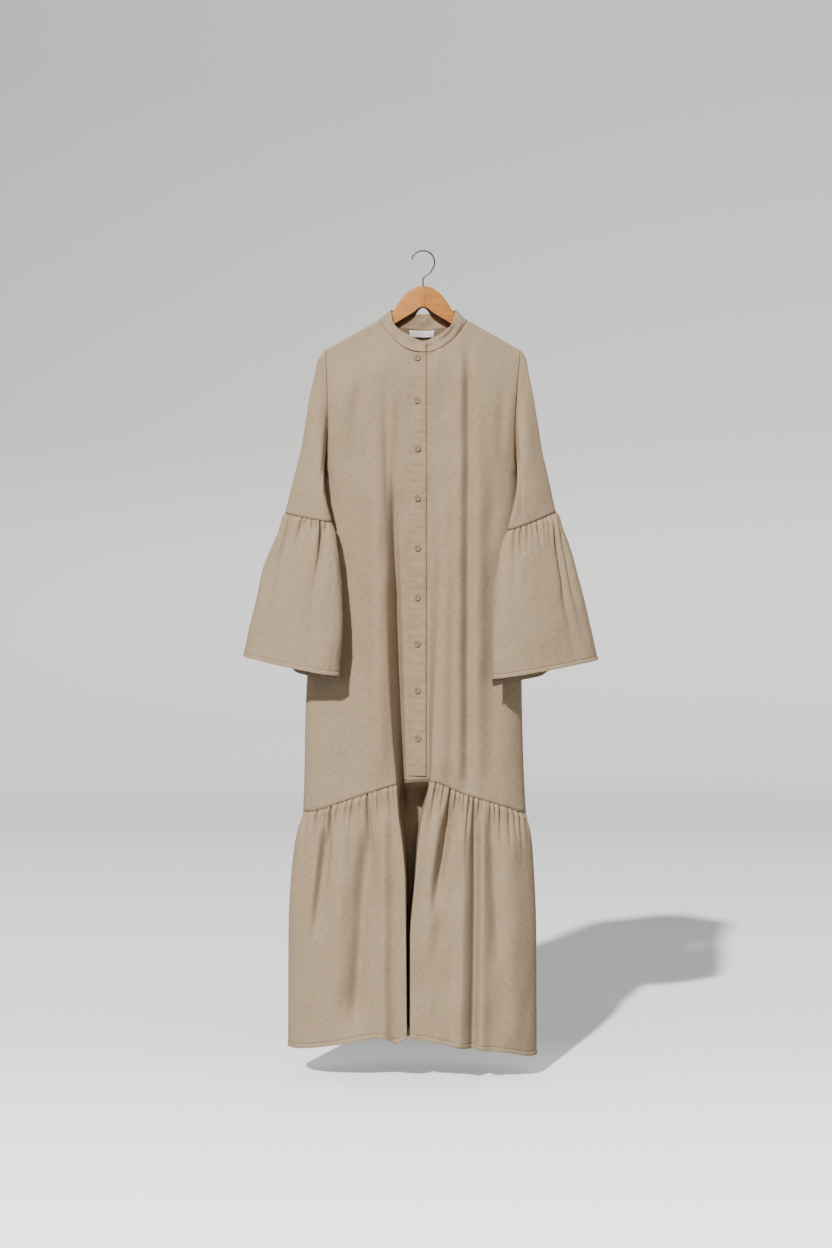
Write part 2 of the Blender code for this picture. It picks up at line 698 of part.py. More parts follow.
def cuff_grid(half):
    nodes = gather_nodes(CUFF_GATHERS, 3.0 if half == "right" else 5.0, False)
    grid = []
    for down in CUFF_ROWS:
        row = cuff_row(half, down)
        axis = ring_axis(row)
        line = []
        for place, swing, reach in nodes[:-1] + nodes[:1]:
            turn = 2 * math.pi * place
            point = ring_point(row, turn, gather_swing(swing, reach * CUFF_REACH, down))
            point[2] -= back_cuff_drop(turn, down)
            line.append(tuple(point - axis * SEAM_GAP))
        grid.append(line if half == "right" else line[::-1])
    return grid


def skirt_point(x_at, share_down, side, seam_line, swing, reach):
    """A point of the skirt for a column that follows x_at down from the seam."""
    edges = FRONT_EDGES if side == "front" else BACK_EDGES
    seam_x = [point[0] for point in seam_line]
    seam_z = [point[2] for point in seam_line]
    z = -1060.0 - 450.0 * share_down
    for _ in range(6):
        x = x_at(z)
        seam = float(np.interp(x, seam_x, seam_z)) - SEAM_GAP
        z = seam + (read(edges, "x", "hem", x) - seam) * share_down
    y = body_y(x, z, side)
    out_x, out_y = across_normal(x, z, side)
    move = gather_swing(swing, reach, share_down)
    return (x + out_x * move, y + out_y * move, z)


def skirt_front_columns():
    """Columns of the skirt's front as (function for x, swing, reach)."""
    columns = []

    def side_column(edge, side, share):
        def x_at(z):
            start = read(VALLEY, "z", edge, z)
            return start + (read(BODY, "z", side, z) - start) * share
        return x_at

    def floor_column(share):
        def x_at(z):
            left = read(VALLEY, "z", "left", z)
            right = read(VALLEY, "z", "right", z)
            return left + (right - left) * share
        return x_at

    halves = []
    for side, seed in (("left", 1.0), ("right", 2.0)):
        half = []
        for place, swing, reach in gather_nodes(FRONT_GATHERS, seed, True)[:-1]:
            share = math.sin(math.pi / 2 * place)
            half.append((side_column(side, side, share), swing, reach))
        half.append((side_column(side, side, SEAM_SHARE), 0.0, 1.0))
        half.append((side_column(side, side, 1.0), 0.0, 1.0))
        halves.append(half)
    columns += halves[0][::-1]
    for share in FLOOR_SHARES:
        columns.append((floor_column(share), 0.0, 1.0))
    columns += halves[1]
    return columns


def skirt_back_columns():
    def back_column(share):
        def x_at(z):
            left = read(BODY, "z", "left", z)
            right = read(BODY, "z", "right", z)
            return (left + right) / 2 - (right - left) / 2 * share
        return x_at

    nodes = gather_nodes(BACK_GATHERS, 4.0, True)
    columns = [(back_column(-1.0), 0.0, 1.0), (back_column(-SEAM_SHARE), 0.0, 1.0)]
    for place, swing, reach in nodes[1:-1]:
        columns.append((back_column(-math.cos(math.pi * place)), swing, reach))
    columns += [(back_column(SEAM_SHARE), 0.0, 1.0), (back_column(1.0), 0.0, 1.0)]
    return columns


def skirt_grid(columns, side, seam_line):
    grid = []
    for share in SKIRT_ROWS:
        line = []
        for x_at, swing, reach in columns:
            line.append(skirt_point(x_at, share, side, seam_line, swing, reach))
        grid.append(line)
    return grid


def cloth_y(grid, x, z):
    """Face of a coarse panel at one place, straight between its own points."""
    crossings = []
    for column in zip(*grid):
        heights = [point[2] for point in column]
        at_x = float(np.interp(z, heights, [point[0] for point in column]))
        at_y = float(np.interp(z, heights, [point[1] for point in column]))
        crossings.append((at_x, at_y))
    crossings.sort()
    at_x, at_y = zip(*crossings)
    return float(np.interp(x, at_x, at_y))


def label_grid(back):
    """The bare label lies on the inside of the back, just under the neck seam."""
    grid = []
    for down in (1.0, 0.5, 0.0):
        z = LABEL_TOP - LABEL_HEIGHT * down
        line = []
        for step in range(5):
            x = LABEL_CENTRE + LABEL_WIDTH * (step / 4 - 0.5)
            line.append((x, cloth_y(back, x, z) - CLOTH - 2 * SEAM_GAP, z))
        grid.append(line)
    return grid


def make_button(number, z, material, collection):
    """A flat round button on the placket, its axis square to the cloth."""
    lift = PLACKET_WALL + 2 * SEAM_GAP + BUTTON_WALL / 2
    face = max(abs(body_y(BUTTON_X + dx, z, "front")) for dx in BUTTON_PROBES)
    above = body_y(BUTTON_X, z + BUTTON_RADIUS, "front")
    below = body_y(BUTTON_X, z - BUTTON_RADIUS, "front")
    lean = math.atan2(above - below, 2 * BUTTON_RADIUS)
    bpy.ops.mesh.primitive_cylinder_add(
        vertices=12, radius=BUTTON_RADIUS * MM, depth=BUTTON_WALL * MM
    )
    button = bpy.context.active_object
    button.location = (BUTTON_X * MM, -(face + lift) * MM, z * MM)
    button.rotation_euler = (math.pi / 2 - lean, 0.0, 0.0)
    edge = button.modifiers.new("Edge", "BEVEL")
    edge.width = 0.9 * MM
    edge.segments = 1
    return adopt(button, f"button_{number}", material, collection)


def arm_ring(row):
    """One section across a hanger arm: round top, undercut foot behind."""
    half = WOOD_THICKNESS / 2
    points = []
    for step in range(ARM_TOP_STEPS + 1):
        turn = math.pi * step / ARM_TOP_STEPS
        points.append((-half * math.cos(turn), row.top - half + half * math.sin(turn)))
    points.append((half, row.bottom - row.undercut))
    points.append((half - ARM_BACK_CHAMFER, row.bottom - row.undercut - 1.0))
    points.append((-half + ARM_FRONT_CHAMFER, row.bottom - 1.0))
    points.append((-half, row.bottom))
    return points


def make_arm(half, material, collection):
    """Hanger arm lofted through its rows, with half of the hook's bore cut in it."""
    sign = -1.0 if half == "right" else 1.0
    mesh = bmesh.new()
    rings = []
    for row in ARM:
        ring = [mesh.verts.new((sign * row.x * MM, y * MM, z * MM)) for y, z in arm_ring(row)]
        rings.append(ring)
    for near, far in zip(rings, rings[1:]):
        for a in range(len(near)):
            b = (a + 1) % len(near)
            mesh.faces.new((near[a], near[b], far[b], far[a]))
    mesh.faces.new(rings[0])
    mesh.faces.new(rings[-1])
    bmesh.ops.recalc_face_normals(mesh, faces=mesh.faces)
    name = f"hanger_arm_{half}"
    data = bpy.data.meshes.new(name)
    mesh.to_mesh(data)
    mesh.free()
    arm = bpy.data.objects.new(name, data)
    bpy.context.scene.collection.objects.link(arm)
    return adopt(arm, name, material, collection)


def make_bore(collection, material):
    radius = HOOK_RADIUS + BORE_CLEARANCE
    depth = BORE_TOP - (HOOK_STEM_END - BORE_CLEARANCE)
    bpy.ops.mesh.primitive_cylinder_add(vertices=16, radius=radius * MM, depth=depth * MM)
    bore = bpy.context.active_object
    bore.location = (0.0, 0.0, (BORE_TOP - depth / 2) * MM)
    bore.hide_render = True
    bore.display_type = "WIRE"
    return adopt(bore, "hook_bore", material, collection)


def hook_points():
    """Centre line of the wire: tip, crown, side, then the neck and the stem."""
    centre_z = HOOK_RADIUS - HOOK_LOOP
    points = []
    for step in range(HOOK_ARC_STEPS + 1):
        turn = math.radians(HOOK_TIP_TURN - HOOK_SWEEP * step / HOOK_ARC_STEPS)
        points.append((HOOK_LOOP * math.cos(turn), centre_z + HOOK_LOOP * math.sin(turn)))
    last_x, last_z = points[-1]
    for step in range(1, HOOK_NECK_STEPS + 1):
        t = step / HOOK_NECK_STEPS
        ease = t * t * (3 - 2 * t)
        points.append((last_x * (1 - ease), last_z - HOOK_NECK * t))
    points.append((0.0, HOOK_STEM_END))
    return points


def make_hook(material, collection):
    curve = bpy.data.curves.new("hook", "CURVE")
    curve.dimensions = "3D"
    curve.bevel_depth = HOOK_RADIUS * MM
    curve.bevel_resolution = 2
    curve.use_fill_caps = True
    points = hook_points()
    spline = curve.splines.new("POLY")
    spline.points.add(len(points) - 1)
    for point, (x, z) in zip(spline.points, points):
        point.co = (x * MM, 0.0, z * MM, 1.0)
    hook = bpy.data.objects.new("hook", curve)
    bpy.context.scene.collection.objects.link(hook)
    return adopt(hook, "hook", material, collection)


def build():
    for old in list(bpy.data.objects):
        bpy.data.objects.remove(old, do_unlink=True)
    dress = make_collection("shirt_dress_on_hanger")
    cutters = make_collection("cutters")
    cotton = make_material("sand cotton", (0.43, 0.36, 0.28), 0.9)
    button = make_material("sand button", (0.38, 0.31, 0.24), 0.4)
    tape = make_material("white label tape", (0.85, 0.84, 0.82), 0.8)
    beech = make_material("varnished beech", (0.60, 0.33, 0.15), 0.45)
    steel = make_material("dark steel wire", (0.16, 0.15, 0.14), 0.35, 1.0)

    right_front = front_grid("right")
    left_front = front_grid("left")
    back = back_grid()
    cloth_sheet("front_right", right_front, CLOTH, False, False, cotton, dress)
    cloth_sheet("front_left", left_front, CLOTH, False, False, cotton, dress)
    cloth_sheet("back", back, CLOTH, False, False, cotton, dress)
    placket = placket_grid(right_front, left_front)
    cloth_sheet("placket", placket, PLACKET_WALL, True, False, cotton, dress)
    collar = collar_grid(right_front, left_front, back)
    cloth_sheet("collar_band", collar, CLOTH, True, False, cotton, dress)
    for half, front in (("right", right_front), ("left", left_front)):
        sleeve = sleeve_grid(half, front, back)
        cloth_sheet(f"sleeve_{half}", sleeve, CLOTH, True, True, cotton, dress)
        cloth_sheet(f"cuff_{half}", cuff_grid(half), CLOTH, False, True, cotton, dress)
    front_seam = right_front[0] + left_front[0]
    front = skirt_grid(skirt_front_columns(), "front", front_seam)
    cloth_sheet("skirt_front", front, CLOTH, False, False, cotton, dress)
    rear = skirt_grid(skirt_back_columns(), "back", back[0][::-1])
    cloth_sheet("skirt_back", rear, CLOTH, False, False, cotton, dress)
    cloth_sheet("label", label_grid(back), LABEL_WALL, True, False, tape, dress)
    for number, z in enumerate(BUTTON_Z, start=1):
        make_button(number, z, button, dress)

    bore = make_bore(cutters, steel)
    for half in ("right", "left"):
        arm = make_arm(half, beech, dress)
        cut = arm.modifiers.new("Bore", "BOOLEAN")
        cut.operation = "DIFFERENCE"
        cut.object = bore
    make_hook(steel, dress)


build()
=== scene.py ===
"""Looks of the long shirt dress on its wooden hanger.

Every table is in millimetres, in the frame of the solids: origin at the
underside of the hook's crown, X to the picture's right, -Y out of the front,
Z up. The cloth here is a thin shell on the solids' own form, with the sewing,
gathers, creases and weave that the solids leave out.
"""
import math
from collections import namedtuple

import bmesh
import bpy
import numpy as np
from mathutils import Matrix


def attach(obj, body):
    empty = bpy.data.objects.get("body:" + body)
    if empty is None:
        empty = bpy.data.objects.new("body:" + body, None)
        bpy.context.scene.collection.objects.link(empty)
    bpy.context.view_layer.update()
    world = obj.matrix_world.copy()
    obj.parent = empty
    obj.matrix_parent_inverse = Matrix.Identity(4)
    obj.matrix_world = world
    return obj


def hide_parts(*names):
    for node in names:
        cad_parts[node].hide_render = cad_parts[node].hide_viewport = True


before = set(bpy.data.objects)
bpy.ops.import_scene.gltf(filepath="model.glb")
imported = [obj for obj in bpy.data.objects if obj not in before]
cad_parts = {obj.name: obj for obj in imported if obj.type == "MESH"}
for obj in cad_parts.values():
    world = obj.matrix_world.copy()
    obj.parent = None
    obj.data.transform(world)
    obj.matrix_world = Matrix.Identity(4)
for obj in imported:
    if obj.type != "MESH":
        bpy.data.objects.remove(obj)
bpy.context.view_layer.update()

bpy.ops.object.select_all(action="DESELECT")

MM = 0.001

# Driving sizes, as in the solids unless a comment says otherwise
CLOTH = 0.8            # wall of the cloth that shows, thinner than the solids'
SEAM_GAP = 0.3
SIDE_GAP = 0.04        # the side seams are closed here, and the solids keep 0.35
BODY_POWER = 2.2
SHOULDER_ROLL = 8.0
SHOULDER_DROP = 110.0
NECK_SIDE = 84.0
NECK_SIDE_Z = -132.0
SHOULDER_SLOPE = 0.57
NECK_FRONT_Z = -200.0
NECK_BACK_Z = -146.0
NECK_POWER = 2.2
UNDERARM_Z = -430.0
SHOULDER_TIP_Z = -190.7
TIP_RIM = 9.0
ARMHOLE_RIM = 22.0
CENTRE_X = -11.0
PLACKET_LEFT = -28.0
PLACKET_RIGHT = 5.8
PLACKET_END = -1010.0
YOKE_Z = -260.0
SKIRT_Z = -900.0
LABEL_WIDTH = 48.0
LABEL_HEIGHT = 12.0
LABEL_TOP = -149.0
LABEL_CENTRE = -2.0
BUTTON_RADIUS = 6.0
BUTTON_X = -11.0
BUTTON_Z = (-212, -294, -386, -480, -575, -669, -757, -846, -937)
WOOD_THICKNESS = 12.0
HOOK_RADIUS = 1.5
HOOK_LOOP = 22.5
HOOK_STEM_END = -82.0
HEM_DEPTH = 8.0        # turned edge of the skirt and cuffs, with its row of stitches
STITCH_LENGTH = 2.6
STITCH_PITCH = 3.4
STITCH_RADIUS = 0.28
STITCH_PROUD = 0.1     # height of a row of stitches over the placket
HEM_STITCH_LIFT = -0.7  # the hem's stitches lie in their own groove
PLACKET_STITCH_X = {"left": -25.6, "right": 3.2}
PLACKET_STITCH_TOP = -214.0
PLACKET_CLOTH = 0.9
PLACKET_LIFT = 0.5     # height of the folded band at its sewn edge
PLACKET_RISE = 1.7     # and how much more at its free edge
LABEL_CLOTH = 0.6
LABEL_OFF_BACK = 2.2
LABEL_BELLY = 0.5
BUTTON_LIFT = 1.9      # from the band's face to a button's middle plane
BUTTON_DEPTH = 2.4
BUTTON_HOLE_AT = 1.25
BUTTON_HOLE_RADIUS = 0.75
THREAD_RADIUS = 0.2
THREAD_PITCH = 0.35
CUFF_TALL = 300.0      # rough height of a cuff and of the skirt, for their hems' rows
SKIRT_TALL = 460.0
CUFF_SPREAD = 160.0
SLEEVE_TALL = 330.0
FOLDING_PASSES = 7     # rounds in which rows and columns settle on each other
GRAIN_LEAN = math.radians(29.7)
SMOOTH_ANGLE = math.radians(35)

# Outline of the body and skirt seen from the front, with its depth each way.
BodyRow = namedtuple("BodyRow", "z left right front back")
BODY = (
    BodyRow(-100, -187, 187, 44, 46),
    BodyRow(-190, -187, 187, 44, 46),
    BodyRow(-260, -185, 182, 50, 46),
    BodyRow(-346, -183, 177, 56, 48),
    BodyRow(-400, -186, 178, 60, 52),
    BodyRow(-430, -191, 182, 62, 54),
    BodyRow(-480, -194.5, 185, 64, 56),
    BodyRow(-560, -199, 187, 66, 59),
    BodyRow(-680, -212, 190, 69, 64),
    BodyRow(-840, -225, 191, 74, 68),
    BodyRow(-1080, -231.5, 199, 82, 76),
    BodyRow(-1128, -245, 209, 88, 84),
    BodyRow(-1186, -253, 214, 91, 87),
    BodyRow(-1311, -260, 219, 96, 92),
    BodyRow(-1560, -261, 220, 100, 98),
)

# The deep fold down the middle of the front, in which the placket lies.
ValleyRow = namedtuple("ValleyRow", "z left right depth left_wall right_wall")
VALLEY = (
    ValleyRow(-100, -73, 60, 0, 26, 34),
    ValleyRow(-240, -73, 60, 0, 26, 34),
    ValleyRow(-346, -74, 50, 4, 28, 32),
    ValleyRow(-480, -74, 42, 9, 24, 30),
    ValleyRow(-560, -73, 38, 14, 21, 26),
    ValleyRow(-660, -72, 33, 19, 20, 22),
    ValleyRow(-750, -70, 28, 24, 18, 17),
    ValleyRow(-900, -62, 20, 29, 13, 10),
    ValleyRow(-1025, -50.5, 13, 33, 6, 3.5),
    ValleyRow(-1090, -46, -2, 34, 6, 3),
    ValleyRow(-1130, -40, -8, 35, 6, 3),
    ValleyRow(-1205, -34, -15, 36, 6, 3),
    ValleyRow(-1315, -32.5, -24, 36, 3.6, 3.6),
    ValleyRow(-1560, -30.5, -24.5, 36, 2.6, 2.6),
)
# The skirt's part of it is tucked in further below the seam, so it lies in shadow.
TuckRow = namedtuple("TuckRow", "below depth")
SKIRT_TUCK = (
    TuckRow(0, 0),
    TuckRow(4, 7),
    TuckRow(26, 56),
    TuckRow(70, 78),
    TuckRow(140, 74),
    TuckRow(470, 50),
)

# Soft folds: a ridge where height is above 0 and a trough where it is below.
FoldRow = namedtuple("FoldRow", "x_top z_top x_low z_low width height fade_in fade_out")
FRONT_FOLDS = (
    FoldRow(-92, -250, -80, -1040, 22, 16, 300, 90),
    FoldRow(-61, -330, -38, -1095, 6.5, -20, 420, 60),
    FoldRow(50, -430, 34, -1040, 17, 8, 200, 60),
    FoldRow(88, -165, 84, -1045, 9, -8, 110, 60),
    FoldRow(72, -165, 66, -1045, 11, 7, 110, 60),
    FoldRow(-142, -300, -150, -1045, 22, -5, 200, 80),
    FoldRow(132, -330, 128, -1045, 18, -4, 200, 80),
    FoldRow(108, -330, 104, -1045, 14, 4, 200, 80),
    FoldRow(-152, -460, -160, -1060, 30, 4, 200, 100),
    FoldRow(-180, -1078, -212, -1360, 9, -13, 60, 150),
    FoldRow(-196, -1085, -232, -1500, 14, 5, 80, 150),
    FoldRow(-148, -1075, -170, -1500, 14, 6, 80, 150),
    FoldRow(-102, -1060, -130, -1510, 16, -19, 130, 90),
    FoldRow(-74, -1060, -74, -1530, 12, 10, 60, 20),
    FoldRow(56, -1048, 14, -1290, 10, -17, 60, 100),
    FoldRow(28, -1060, 6, -1400, 12, 6, 80, 120),
    FoldRow(80, -1050, 68, -1530, 12, 11, 80, 20),
    FoldRow(102, -1050, 93, -1545, 8, -15, 90, 20),
    FoldRow(126, -1060, 144, -1400, 12, -9, 60, 140),
    FoldRow(112, -1060, 112, -1540, 12, 6, 60, 30),
    FoldRow(168, -1080, 176, -1540, 20, 5, 80, 60),
)
BACK_FOLDS = (
    FoldRow(-70, -260, -92, -1080, 18, -10, 260, 60),
    FoldRow(64, -280, 78, -1080, 16, -10, 260, 60),
    FoldRow(-4, -190, -10, -1080, 26, 7, 200, 60),
    FoldRow(-128, -320, -150, -1080, 18, 6, 260, 60),
    FoldRow(122, -320, 136, -1080, 16, 6, 260, 60),
    FoldRow(-150, -1086, -176, -1540, 16, -9, 30, 60),
    FoldRow(-58, -1090, -76, -1540, 18, -11, 30, 30),
    FoldRow(30, -1090, 40, -1540, 18, -10, 30, 30),
    FoldRow(118, -1088, 136, -1540, 15, -9, 30, 60),
    FoldRow(-112, -1100, -126, -1540, 16, 6, 60, 30),
    FoldRow(76, -1100, 90, -1540, 16, 6, 60, 30),
)

# Small creases pressed into the cloth: a line each, sharp where blunt is near 1.
CreaseRow = namedtuple("CreaseRow", "x_start z_start x_end z_end width height blunt ease")
FRONT_CREASES = (
    CreaseRow(28, -191, 10, -214, 2.6, -1.4, 1.2, 0.4),
    CreaseRow(-21, -195, -12, -206, 2.4, -1.3, 1.2, 0.4),
    CreaseRow(44, -183, 22, -232, 7, 1.2, 2.0, 0.5),
    CreaseRow(-96, -148, -104, -176, 6, -2.0, 1.6, 0.5),
    CreaseRow(-108, -180, -142, -440, 13, -4.5, 2.0, 0.5),
    CreaseRow(-128, -190, -168, -420, 12, 3.0, 2.0, 0.5),
    CreaseRow(-72, -228, -68, -560, 6, -4.5, 1.5, 0.4),
    CreaseRow(-62, -240, -56, -480, 9, 2.0, 2.0, 0.4),
    CreaseRow(152, -205, 148, -470, 12, -4.0, 2.0, 0.5),
    CreaseRow(40, -215, 36, -480, 12, -2.5, 2.0, 0.5),
    CreaseRow(80, -160, 82, -330, 7, -1.6, 1.6, 0.4),
    CreaseRow(-140, -230, -150, -420, 18, 1.6, 2.0, 0.5),
    CreaseRow(132, -220, 140, -430, 16, 1.5, 2.0, 0.5),
    CreaseRow(-172, -205, -176, -330, 7, -1.6, 1.6, 0.4),
    CreaseRow(118, -700, 128, -1000, 20, -1.6, 2.0, 0.5),
    CreaseRow(-120, -560, -128, -900, 20, -1.4, 2.0, 0.5),
    CreaseRow(90, -1218, 50, -1275, 1.6, 0.8, 1.2, 0.4),
    CreaseRow(-164, -1360, -126, -1360, 1.5, 0.7, 1.2, 0.4),
    CreaseRow(-208, -1362, -190, -1362, 1.5, 0.6, 1.2, 0.4),
    CreaseRow(42, -1406, 76, -1406, 1.5, 0.7, 1.2, 0.4),
    CreaseRow(-170, -1210, -182, -1260, 3, 0.9, 1.3, 0.4),
)

# Gathers sewn into the front's skirt seam. Lengths are measured down from the seam.
GatherRow = namedtuple("GatherRow", "x_seam x_low length depth")
FRONT_GATHERS = (
    GatherRow(-222, -230, 70, 4.0),
    GatherRow(-202, -210, 62, 5.0),
    GatherRow(-190, -193, 26, 2.6),
    GatherRow(-185, -187, 44, 3.6),
    GatherRow(-175.5, -190, 190, 6.5),
    GatherRow(-161, -168, 46, 3.6),
    GatherRow(-153.5, -156, 22, 2.4),
    GatherRow(-144, -147, 40, 3.2),
    GatherRow(-133, -139, 58, 4.0),
    GatherRow(-117.5, -118, 34, 3.2),
    GatherRow(-106, -98, 150, 6.0),
    GatherRow(-96, -92, 26, 2.4),
    GatherRow(-86, -84, 48, 3.8),
    GatherRow(-80, -76, 30, 2.8),
    GatherRow(-66, -60, 52, 3.4),
    GatherRow(-57, -52, 36, 2.6),
    GatherRow(14, 10, 46, 3.0),
    GatherRow(24.7, 12, 92, 4.6),
    GatherRow(33, 26, 34, 2.8),
    GatherRow(39.6, 34, 46, 4.0),
    GatherRow(52, 32, 180, 7.0),
    GatherRow(63, 58, 58, 4.0),
    GatherRow(71, 69, 30, 2.6),
    GatherRow(77.5, 76, 52, 3.6),
    GatherRow(88, 80, 116, 5.0),
    GatherRow(96, 96, 130, 6.0),
    GatherRow(107, 103, 60, 4.0),
    GatherRow(112, 111, 30, 2.6),
    GatherRow(127.5, 128, 42, 3.4),
    GatherRow(135.5, 137, 34, 2.6),
    GatherRow(146, 148, 78, 4.4),
    GatherRow(162, 166, 60, 3.4),
    GatherRow(173, 178, 48, 3.0),
    GatherRow(184, 190, 62, 3.4),
    GatherRow(193, 200, 40, 2.4),
)

# The back's gathers are drawn by chance: their lengths, and the share of each length.
BACK_GATHER_LENGTHS = (24, 34, 46, 60, 90, 150)
BACK_GATHER_SHARES = (0.2, 0.25, 0.25, 0.15, 0.1, 0.05)

# Height of the skirt seam and of the hem across the front and the back.
EdgeRow = namedtuple("EdgeRow", "x seam hem")
FRONT_EDGES = (
    EdgeRow(-262, -1080, -1531),
    EdgeRow(-231, -1080, -1527),
    EdgeRow(-147, -1055, -1510),
    EdgeRow(-104, -1040, -1500),
    EdgeRow(-73, -1030, -1496),
    EdgeRow(-52, -1024, -1508),
    EdgeRow(-28, -1020, -1498),
    EdgeRow(12, -1018, -1504),
    EdgeRow(77, -1041, -1518),
    EdgeRow(158, -1068, -1531),
    EdgeRow(199, -1082, -1543),
    EdgeRow(221, -1082, -1548),
)
BACK_EDGES = (
    EdgeRow(-262, -1080, -1531),
    EdgeRow(-231, -1080, -1533),
    EdgeRow(0, -1090, -1540),
    EdgeRow(199, -1082, -1545),
    EdgeRow(221, -1082, -1548),
)

# Stand collar, from the centre front round one side to the centre back.
CollarRow = namedtuple("CollarRow", "turn seam_x top_x top_y top_z")
COLLAR = (
    CollarRow(0, 0, 0, -33, -181),
    CollarRow(25, 30, 28, -33, -168),
    CollarRow(50, 58, 51, -27, -150),
    CollarRow(70, 75, 59, -18, -133),
    CollarRow(82, 81.5, 61.5, -8.5, -119),
    CollarRow(90, 84, 61.5, 0, -114),
    CollarRow(115, 75, 53, 13, -113),
    CollarRow(140, 52, 37, 22, -115),
    CollarRow(180, 0, 0, 26, -117),
)
COLLAR_LAP = 3.1
COLLAR_WALL = 1.3
COLLAR_OVERLAP = 1.4   # the band is sewn over the neck edge, so no light shows through

# Rings of the sleeves and of the gathered cuffs, outer end to inner end.
TubeRow = namedtuple(
    "TubeRow", "down outer_x outer_y outer_z inner_x inner_y inner_z front back"
)
SLEEVE_END = {
    "right": TubeRow(0, -262.5, -14, -507, -176, -64, -527, 20, 11),
    "left": TubeRow(0, 253, -14, -503.5, 163, -64, -542, 20, 11),
}
CUFF = {
    "right": (
        TubeRow(0.12, -279, -15, -543, -164, -74, -562, 28, 18),
        TubeRow(0.3, -299, -16, -597, -155.5, -86, -618, 34, 24),
        TubeRow(0.6, -321, -18, -683, -152.5, -98, -705, 38, 28),
        TubeRow(1.0, -341, -20, -780, -157.5, -106, -817, 41, 30),
    ),
    "left": (
        TubeRow(0.12, 269, -15, -540, 148, -74, -574, 28, 18),
        TubeRow(0.3, 288, -16, -595, 137, -86, -628, 34, 24),
        TubeRow(0.6, 310, -18, -684, 131, -98, -713, 38, 28),
        TubeRow(1.0, 334, -20, -787, 131, -106, -822, 41, 30),
    ),
}
TUBE_POWER = 2.2
SOLID_CLOTH = 1.6
SLEEVE_STRAIGHT = 5.0
ARMHOLE_LIP = 1.7
LIP_SHARE = 0.006
LIP_END = 0.3
UNDERARM_GAP = 0.6
UNDERARM_OUT = 2.0
UNDERARM_BACK_OUT = 15.0
UNDERARM_FORWARD = 27.0
UNDERARM_BACK_SHARE = 0.45
BELLY_START = 0.8
BACK_CUFF_DROP = 16.0
SLEEVE_CROWN = {"right": 8.5, "left": 5.5}

# Gathers of the cuffs: place is 0 at the cuff's outer end and 1 at its inner end.
CuffGather = namedtuple("CuffGather", "place_seam place_low length depth")
CUFF_GATHERS = {
    "right": (
        CuffGather(0.04, 0.0, 60, 3.0),
        CuffGather(0.1, 0.03, 48, 4.5),
        CuffGather(0.215, 0.21, 120, 6.5),
        CuffGather(0.3, 0.29, 30, 2.4),
        CuffGather(0.5, 0.44, 52, 4.6),
        CuffGather(0.6, 0.55, 18, 3.0),
        CuffGather(0.71, 0.7, 22, 3.2),
        CuffGather(0.79, 0.79, 16, 2.2),
        CuffGather(0.87, 0.76, 130, 5.5),
        CuffGather(0.96, 0.9, 26, 3.0),
    ),
    "left": (
        CuffGather(0.04, 0.03, 40, 2.6),
        CuffGather(0.09, 0.15, 150, 5.6),
        CuffGather(0.2, 0.28, 170, 6.4),
        CuffGather(0.3, 0.33, 34, 3.0),
        CuffGather(0.38, 0.4, 20, 2.6),
        CuffGather(0.53, 0.5, 36, 3.8),
        CuffGather(0.64, 0.6, 20, 2.8),
        CuffGather(0.73, 0.69, 26, 3.2),
        CuffGather(0.84, 0.78, 44, 3.4),
        CuffGather(0.94, 0.84, 80, 3.6),
    ),
}

# Long soft folds of the sleeves, by turn round the sleeve and share down it.
SleeveFold = namedtuple("SleeveFold", "turn_top turn_low start end width height")
SLEEVE_FOLDS = {
    "right": (
        SleeveFold(2.1, 2.3, 0.06, 1.0, 0.2, -3.0),
        SleeveFold(1.2, 1.3, 0.1, 1.0, 0.4, 1.5),
        SleeveFold(4.2, 4.4, 0.1, 1.0, 0.25, -3.0),
    ),
    "left": (
        SleeveFold(2.0, 2.35, 0.04, 1.0, 0.2, -3.4),
        SleeveFold(1.3, 1.5, 0.1, 1.0, 0.4, 1.6),
        SleeveFold(4.3, 4.5, 0.1, 1.0, 0.25, -3.0),
    ),
}

# A pressed diagonal line on the front of the wearer's right cuff.
CUFF_CREASE = CreaseRow(138.0, 118.0, 92.0, 172.0, 1.5, 0.9, 1.2, 0.2)

# Strength of the gathers, and the rows of points that lie close round a hem's stitches.
GATHER_GAIN = 1.9
CUFF_GAIN = 1.6
HEM_STEPS = (0.0, 0.8, 2.5, 4.5, 6.0, 7.0, 7.6, 8.1, 8.7, 9.5, 11.0, 13.5, 17.0, 22.0)

# Dents of the stand collar's front, where it has been pushed in.
DentRow = namedtuple("DentRow", "x width height")
COLLAR_DENTS = (DentRow(-24.0, 16.0, 0.55), DentRow(10.0, 12.0, 0.4), DentRow(48.0, 14.0, 0.5))
COLLAR_DENT_DEPTH = 4.0

# Wooden hanger arm: upper and lower edge of its front face.
ArmRow = namedtuple("ArmRow", "x top bottom undercut")
ARM = (
    ArmRow(0.15, -66.6, -107.5, 0.0),
    ArmRow(8, -67.6, -110.5, 2.0),
    ArmRow(18, -71.0, -118.5, 9.0),
    ArmRow(30, -78.5, -126.0, 11.0),
    ArmRow(41, -90.5, -132.5, 11.0),
    ArmRow(50, -104.0, -138.0, 11.0),
    ArmRow(56, -113.0, -141.5, 11.0),
    ArmRow(63, -121.5, -145.5, 10.0),
    ArmRow(72, -128.5, -150.0, 8.0),
    ArmRow(84, -135.6, -156.5, 6.0),
    ArmRow(120, -155.4, -173.5, 2.0),
    ArmRow(160, -178.0, -194.0, 0.0),
    ArmRow(178, -188.3, -202.0, 0.0),
    ArmRow(182.5, -193.5, -201.0, 0.0),
)

